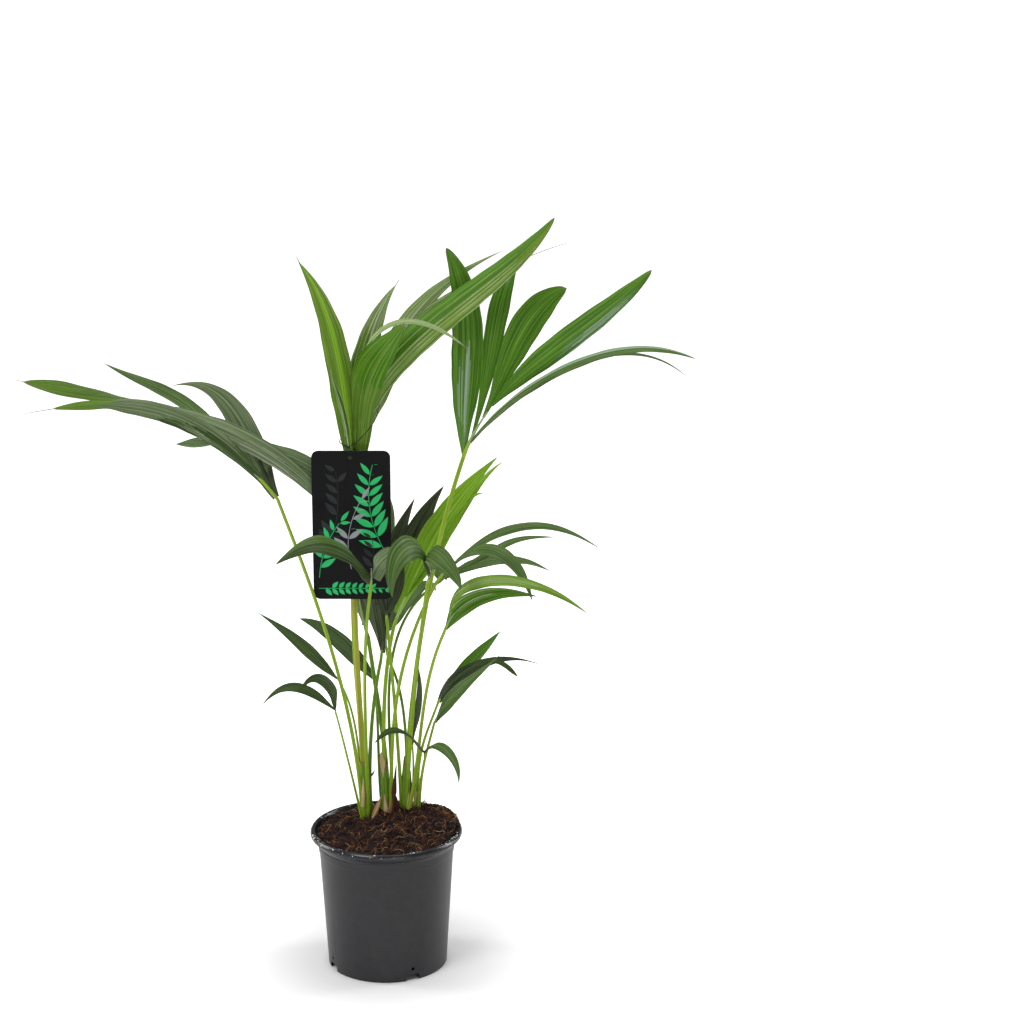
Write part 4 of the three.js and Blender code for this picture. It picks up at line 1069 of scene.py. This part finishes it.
def flake(skin, low, high, turn, rng):
    """A thin irregular flake stuck to the rim between two places of its outline."""
    share = rng.random()
    away, around = toward(turn - math.pi / 2), toward(turn)
    climb = (away * (high[0] - low[0]) + UP * (high[1] - low[1])).normalized()
    out = around.cross(climb)
    if out.dot(away + UP) < 0:
        out.negate()
    centre = away * lerp(low[0], high[0], share) + UP * lerp(low[1], high[1], share) + out * FLAKE["lift"]
    long, wide = mostly_first(rng, *FLAKE["length"]), mostly_first(rng, *FLAKE["width"])
    lean = rng.uniform(-FLAKE["lean"], FLAKE["lean"])
    sides = FLAKE["sides"]
    along = around * math.cos(lean) + climb * math.sin(lean)
    across = climb * math.cos(lean) - around * math.sin(lean)
    first = len(skin.places)
    skin.places.append(centre + out * FLAKE["lift"])

    def reach(turn):
        return rng.uniform(*FLAKE["rough"])

    skin.places.extend(ring(centre - out * 0.1, along * long, across * wide, reach, sides))
    finish = rng.choice(["pale_dust", "pale_dust", "pot_scuff"])
    for k in range(sides):
        skin.face([first, first + 1 + k, first + 1 + (k + 1) % sides], finish)


def lumps(x, y, kinds):
    return sum(high * noise.noise(Vector((x, y, layer)) / size) for size, layer, high in kinds)


def soil_height(x, y):
    """The soil's surface: a lumpy heap round the stems, banked against the rim on the right."""
    share = min(1.0, math.hypot(x, y) / SOIL["radius"])
    climb = (BANK["slope"][0] * x + BANK["slope"][1] * y - BANK["start"]) / BANK["run"]
    mound = math.exp(-math.dist((x, y), BANK["mound_at"]) ** 2 / BANK["mound_area"])
    bank = BANK["rise"] * eased(climb) + BANK["mound"] * mound
    heap = lerp(SOIL["crown"], SOIL["edge"], share ** 2.4)
    return heap + lumps(x, y, LUMPS) * (1 - 0.55 * share ** 3) + bank


def dress_soil():
    """The soil with its crumbs, then the coir fibres and what is spilt on the rim."""
    rng = random.Random("soil")
    edge = SOIL["radius"]
    skin = Skin("potting_soil")
    rows = []
    for k in range(SOIL["rings"] + 1):
        flat = ring(Vector((0, 0, 0)), FRONT, RIGHT, max(0.01, edge * k / SOIL["rings"]), SOIL["around"])
        rows.append([Vector((p.x, p.y, soil_height(p.x, p.y))) for p in flat])
    rows.append([Vector((p.x * 0.99, p.y * 0.99, SOIL["edge"] - SOIL["skirt"])) for p in rows[-1]])

    def tint(r, c):
        return "soil_red" if lumps(*rows[r][c].xy, LUMPS[1:3]) > SOIL["red_above"] else "soil_dark"

    skin.sheet(rows, lambda a, b: (a / 10, b / 10), tint, round_about=True)
    for _ in range(SOIL["crumbs"]):
        x, y = in_pot(edge * 0.985, rng)
        finish = rng.choice(SOIL_TONES)
        size = mostly_first(rng, *SOIL["crumb_size"])
        crumb(skin, Vector((x, y, soil_height(x, y) + 0.2)), size, finish, rng)
    skin.piece("soil", smooth=40)

    coir = Skin("coir_fibres")
    for _ in range(COIR["short"]):
        spot, step = in_pot(edge * 0.96, rng), rng.uniform(*COIR["short_step"])
        strand(coir, *spot, step, rng.randint(*COIR["short_steps"]), rng)
    for _ in range(COIR["long"]):
        strand(coir, *in_pot(edge * 0.7, rng), rng.uniform(*COIR["long_step"]), COIR["long_steps"], rng)
    spill(coir, rng)
    coir.piece("soil")


def spill(skin, rng):
    """Crumbs heaped on the rim and short fibres humped over it."""
    middle, spread, heap = (SPILT_CRUMBS[key] for key in ("turn", "spread", "heap"))
    for _ in range(SPILT_CRUMBS["count"]):
        turn, reach = rng.gauss(middle, spread), mostly_first(rng, *SPILT_CRUMBS["reach"])
        height = mostly_first(rng, *SPILT_CRUMBS["height"]) * math.exp(-((turn - middle) / heap) ** 2)
        place = toward(math.radians(turn)) * reach + UP * (POT["height"] + height)
        size = mostly_first(rng, *SPILT_CRUMBS["size"])
        crumb(skin, place, size, rng.choice(SPILT_CRUMB_TONES), rng)
    middle, spread, count = (SPILT_FIBRES[key] for key in ("turn", "spread", "places"))
    for _ in range(SPILT_FIBRES["count"]):
        turn, reach = math.radians(rng.gauss(middle, spread)), rng.uniform(*SPILT_FIBRES["reach"])
        heading = rng.uniform(0, FULL_TURN)
        places = []
        for k in range(count):
            lift = rng.uniform(*SPILT_FIBRES["lift"]) * math.sin(math.pi * (k + 0.5) / count)
            step = toward(heading) * (SPILT_FIBRES["step"] * (k - count / 2))
            spot = toward(turn) * reach + UP * (POT["height"] + 0.5 + lift) + step
            if math.hypot(spot.x, spot.y) < POT["rim_radius"] - 2:
                places.append(spot)
            heading += rng.uniform(-0.2, 0.2)
        if len(places) > 3:
            finish = rng.choice(SPILT_FIBRE_TONES)
            rope(skin, smooth_run(places, 2), rng.choice(SPILT_FIBRES["radii"]), finish, 4)


def in_pot(edge, rng):
    reach, turn = edge * math.sqrt(rng.random()), rng.uniform(0, FULL_TURN)
    return reach * math.cos(turn), reach * math.sin(turn)


def crumb(skin, centre, size, finish, rng):
    """A crumb of peat or bark: a rough eight-sided lump."""
    first = len(skin.places)
    spin = Matrix.Rotation(rng.uniform(0, math.pi), 3, "Z") @ Matrix.Rotation(rng.uniform(-0.7, 0.7), 3, "X")
    for corner in [(1, 0, 0), (0, 1, 0), (-1, 0, 0), (0, -1, 0), (0, 0, 0.7), (0, 0, -0.7)]:
        skin.places.append(centre + spin @ Vector(corner) * (size * rng.uniform(0.55, 1.35)))
    for a, b in ((0, 1), (1, 2), (2, 3), (3, 0)):
        skin.face([first + a, first + b, first + 4], finish)
        skin.face([first + b, first + a, first + 5], finish)


def strand(skin, x, y, step, count, rng):
    """A curly coir fibre that lies on the soil, humped up off it here and there."""
    heading = rng.uniform(0, FULL_TURN)
    bend = rng.uniform(-COIR["bend"], COIR["bend"])
    lift = mostly_first(rng, *COIR["hump"])
    start = rng.uniform(0, 1.4)
    places = []
    for k in range(count):
        if math.hypot(x, y) > SOIL["radius"] - 0.5:
            break
        hump = lift * abs(math.sin(start + 2.6 * k / count))
        places.append(Vector((x, y, soil_height(x, y) + 0.4 + hump)))
        heading += bend + rng.uniform(-COIR["curl"], COIR["curl"])
        x += step * math.cos(heading)
        y += step * math.sin(heading)
    if len(places) > 3:
        rope(skin, smooth_run(places, 2), rng.choice(COIR["radii"]), rng.choice(COIR_TONES), 4)


# ---- tag and string -----------------------------------------------------------------------------

def card_arc(x, z, radius, start=0, end=360, cuts=24):
    """Places in the card's plane round a centre, with both ends of the arc where it isn't closed."""
    turns = [math.radians(lerp(start, end, k / cuts)) for k in range(cuts + (end - start < 360))]
    return [(x + radius * math.cos(turn), z + radius * math.sin(turn)) for turn in turns]


def card_outline():
    """The card's rounded outline, seen from the front, anticlockwise from its lower right."""
    corner = TAG["corner"]
    right, top = TAG["left"] + TAG["width"] - corner, TAG["top"] - corner
    left, low = TAG["left"] + corner, TAG["top"] - TAG["height"] + corner
    corners = [(right, low, -90), (right, top, 0), (left, top, 90), (left, low, 180)]
    return [place for x, z, start in corners for place in card_arc(x, z, corner, start, start + 90, 8)]


def flat_shape(skin, outline, y, finish, holes=(), faces_front=True):
    """A flat filled outline in the card's plane, with its holes left open."""
    shape = bmesh.new()
    edges = []
    for loop in [outline, *holes]:
        corners = [shape.verts.new((x, y, z)) for x, z in loop]
        edges += [shape.edges.new((a, b)) for a, b in zip(corners, corners[1:] + corners[:1])]
    filled = bmesh.ops.triangle_fill(shape, edges=edges, use_beauty=True)
    first = len(skin.places)
    shape.verts.index_update()
    skin.places.extend(v.co.copy() for v in shape.verts)
    for f in filled["geom"]:
        if isinstance(f, bmesh.types.BMFace):
            skin.face([first + v.index for v in f.verts], finish, turned=(f.normal.y < 0) != faces_front)
    shape.free()


def printed_leaf(x, z, lean, length, width):
    """A plain pointed oval on the card."""
    rim = []
    for side, steps in ((1, range(11)), (-1, range(10, -1, -1))):
        for t in (k / 10 for k in steps):
            half, far = side * width / 2 * math.sin(math.pi * t ** 0.8), length * t
            rim.append((x + math.cos(lean) * far - math.sin(lean) * half,
                        z + math.sin(lean) * far + math.cos(lean) * half))
    return rim


def printed_sprig(x, z, lean, length, bend, pairs, leaf_length, leaf_width):
    """A curved twig on the card with plain ovals in pairs and one at its end."""
    shapes, left, right = [], [], []
    half, leaf_turn = PRINT["twig"], math.radians(PRINT["leaf_turn"])
    steps = pairs * 4
    for k in range(steps + 1):
        t = k / steps
        turn = math.radians(lean + bend * t)
        for side, edge in ((half, left), (-half, right)):
            edge.append((x - math.sin(turn) * side, z + math.cos(turn) * side))
        if k and k % 4 == 0:
            size = lerp(1, 0.55, t)
            for away in (turn + leaf_turn, turn - leaf_turn):
                root = (x + 0.9 * math.cos(away), z + 0.9 * math.sin(away))
                shapes.append(printed_leaf(*root, away, leaf_length * size, leaf_width * size))
        x += length / steps * math.cos(turn)
        z += length / steps * math.sin(turn)
    return shapes + [printed_leaf(x, z, turn, leaf_length * 0.7, leaf_width * 0.6), left + right[::-1]]


def dress_tag():
    """The card with its hole, and the print in thin shapes just off its front."""
    front, back = TAG["front"], TAG["front"] + TAG["thickness"]
    left, low = TAG["left"], TAG["top"] - TAG["height"]
    skin = Skin("plant_card")
    hole = card_arc(left + HOLE["from_left"], TAG["top"] - HOLE["drop"], HOLE["radius"])
    outline = card_outline()
    flat_shape(skin, outline, front, "card_black", [hole])
    flat_shape(skin, outline, back, "card_black", [hole], faces_front=False)
    for loop, inward in ((outline, False), (hole, True)):
        rows = [[Vector((x, y, z)) for x, z in loop] for y in (front, back)]
        skin.sheet(rows, lambda a, b: (a, b), "card_edge", round_about=True, turned=inward)
    shapes = []
    for x, z, *sprig, ink in SPRIGS:
        shapes += [(shape, ink) for shape in printed_sprig(left + x, low + z, *sprig)]
    for k, (shape, ink) in enumerate(shapes):
        flat_shape(skin, shape, front - PRINT["lift"] - PRINT["layer"] * k, ink)
    skin.piece("tag", smooth=30)


def dress_string():
    """The string: a loop round the stalk, a loop through the card's hole, a tail and a knot, all twisted."""
    skin = Skin("card_string")
    knot, radius = Vector(STRING["knot"]), STRING["radius"]
    clear = radius + STRING["clear"]
    x, top = TAG["left"] + HOLE["from_left"], TAG["top"] + clear
    hole_top = TAG["top"] - HOLE["drop"] + HOLE["radius"] - clear
    front, back = TAG["front"] - clear, TAG["front"] + TAG["thickness"] + clear
    through = [(x, front, top), (x, front, hole_top), (x, back, hole_top), (x, back, top)]
    loop_end, through_end = knot + Vector((-1, 0, 0)), knot + Vector((0, 0.6, 0))
    for run in ([*STRING["loop"], loop_end], [*through, through_end], [STRING["tail"]]):
        path = smooth_run([knot, *run], STRING["cuts"])
        for phase in (0, math.pi):
            turns = [phase + STRING["ply_twist"] * i for i in range(len(path))]
            offset = radius * STRING["ply_offset"]
            ply = [p + Vector((math.cos(a), 0, math.sin(a))) * offset for p, a in zip(path, turns)]
            rope(skin, ply, radius * STRING["ply"], "thread_black", 6)
    for k in range(3):
        spin = Matrix.Rotation(k * 1.1 + 0.4, 3, "Y") @ Matrix.Rotation(0.5 * k, 3, "X")
        bow = [Vector((1.1 * math.cos(a), 0.5 * math.sin(2 * a), 1.1 * math.sin(a))) for a in even_turns(18)]
        rope(skin, [knot + spin @ place for place in bow + bow[:1]], 0.5, "thread_black", 6)
    skin.piece("tag_string")


# ---- stage --------------------------------------------------------------------------------------

def area_light(name, place, target, size, power):
    data = bpy.data.lights.new(name, "AREA")
    data.shape = "RECTANGLE"
    data.size, data.size_y = size
    data.energy = power
    light = add_object(name, data)
    light.location = place
    light.rotation_euler = (Vector(target) - Vector(place)).to_track_quat("-Z", "Y").to_euler()


def floor_finish():
    """A pale floor lifted to white for the camera, dimmed near the pot as painted shadow, that also takes
    soft shadow.
    """
    made, tree, shader = new_material("studio_floor")
    speckle = add_node(tree, "TexNoise", {"Scale": 60.0})
    place = add_node(tree, "TexCoord", {}).outputs["Object"]
    distance = add_node(tree, "VectorMath", {0: place}, operation="LENGTH").outputs["Value"]
    # The ramp dims the floor's lift near the pot: painted shadow round its foot.
    ramp = add_node(tree, "ValToRGB", {"Fac": distance})
    ramp.color_ramp.interpolation = "EASE"
    stops, elements = FLOOR["glow"], ramp.color_ramp.elements
    elements[0].position, elements[1].position = stops[0][0], stops[-1][0]
    for position, _ in stops[1:-1]:
        elements.new(position)
    for stop, (_, colour) in zip(elements, stops):
        stop.color = linear(colour)
    seen = add_node(tree, "LightPath", {}).outputs["Is Camera Ray"]
    feed(tree, shader, {"Roughness": 0.9, "Specular IOR Level": 0.1, "Emission Strength": 1.0,
                        "Base Color": mixed(tree, speckle.outputs["Fac"], "e6e6e6", "ebebeb"),
                        "Emission Color": mixed(tree, seen, "000000", ramp.outputs["Color"])})
    return made


def set_stage():
    mesh = bpy.data.meshes.new("floor")
    reach = FLOOR["reach"]
    corners = [(-reach, -reach, 0), (reach, -reach, 0), (reach, reach, 0), (-reach, reach, 0)]
    mesh.from_pydata(corners, [], [(0, 1, 2, 3)])
    mesh.materials.append(floor_finish())
    floor = add_object("floor", mesh)

    world = bpy.data.worlds.new("soft_studio")
    world.use_nodes = True
    background = world.node_tree.nodes["Background"]
    background.inputs["Color"].default_value = (1, 1, 1, 1)
    background.inputs["Strength"].default_value = WORLD_LIGHT
    scene = bpy.context.scene
    scene.world = world
    for light in LIGHTS:
        area_light(*light)

    data = bpy.data.cameras.new("camera")
    data.lens, data.sensor_width, data.clip_end = CAMERA["lens"], CAMERA["sensor"], CAMERA["far"]
    camera = add_object("camera", data)
    camera.location = CAMERA["place"]
    camera.rotation_euler = (math.radians(90 - CAMERA["pitch"]), 0, 0)
    scene.camera = camera
    scene.view_settings.view_transform = "Standard"


make_finishes()
for frond_name, frond_plan in FRONDS.items():
    dress_frond(frond_name, frond_plan)
dress_stems()
dress_pot()
dress_soil()
dress_tag()
dress_string()
set_stage()
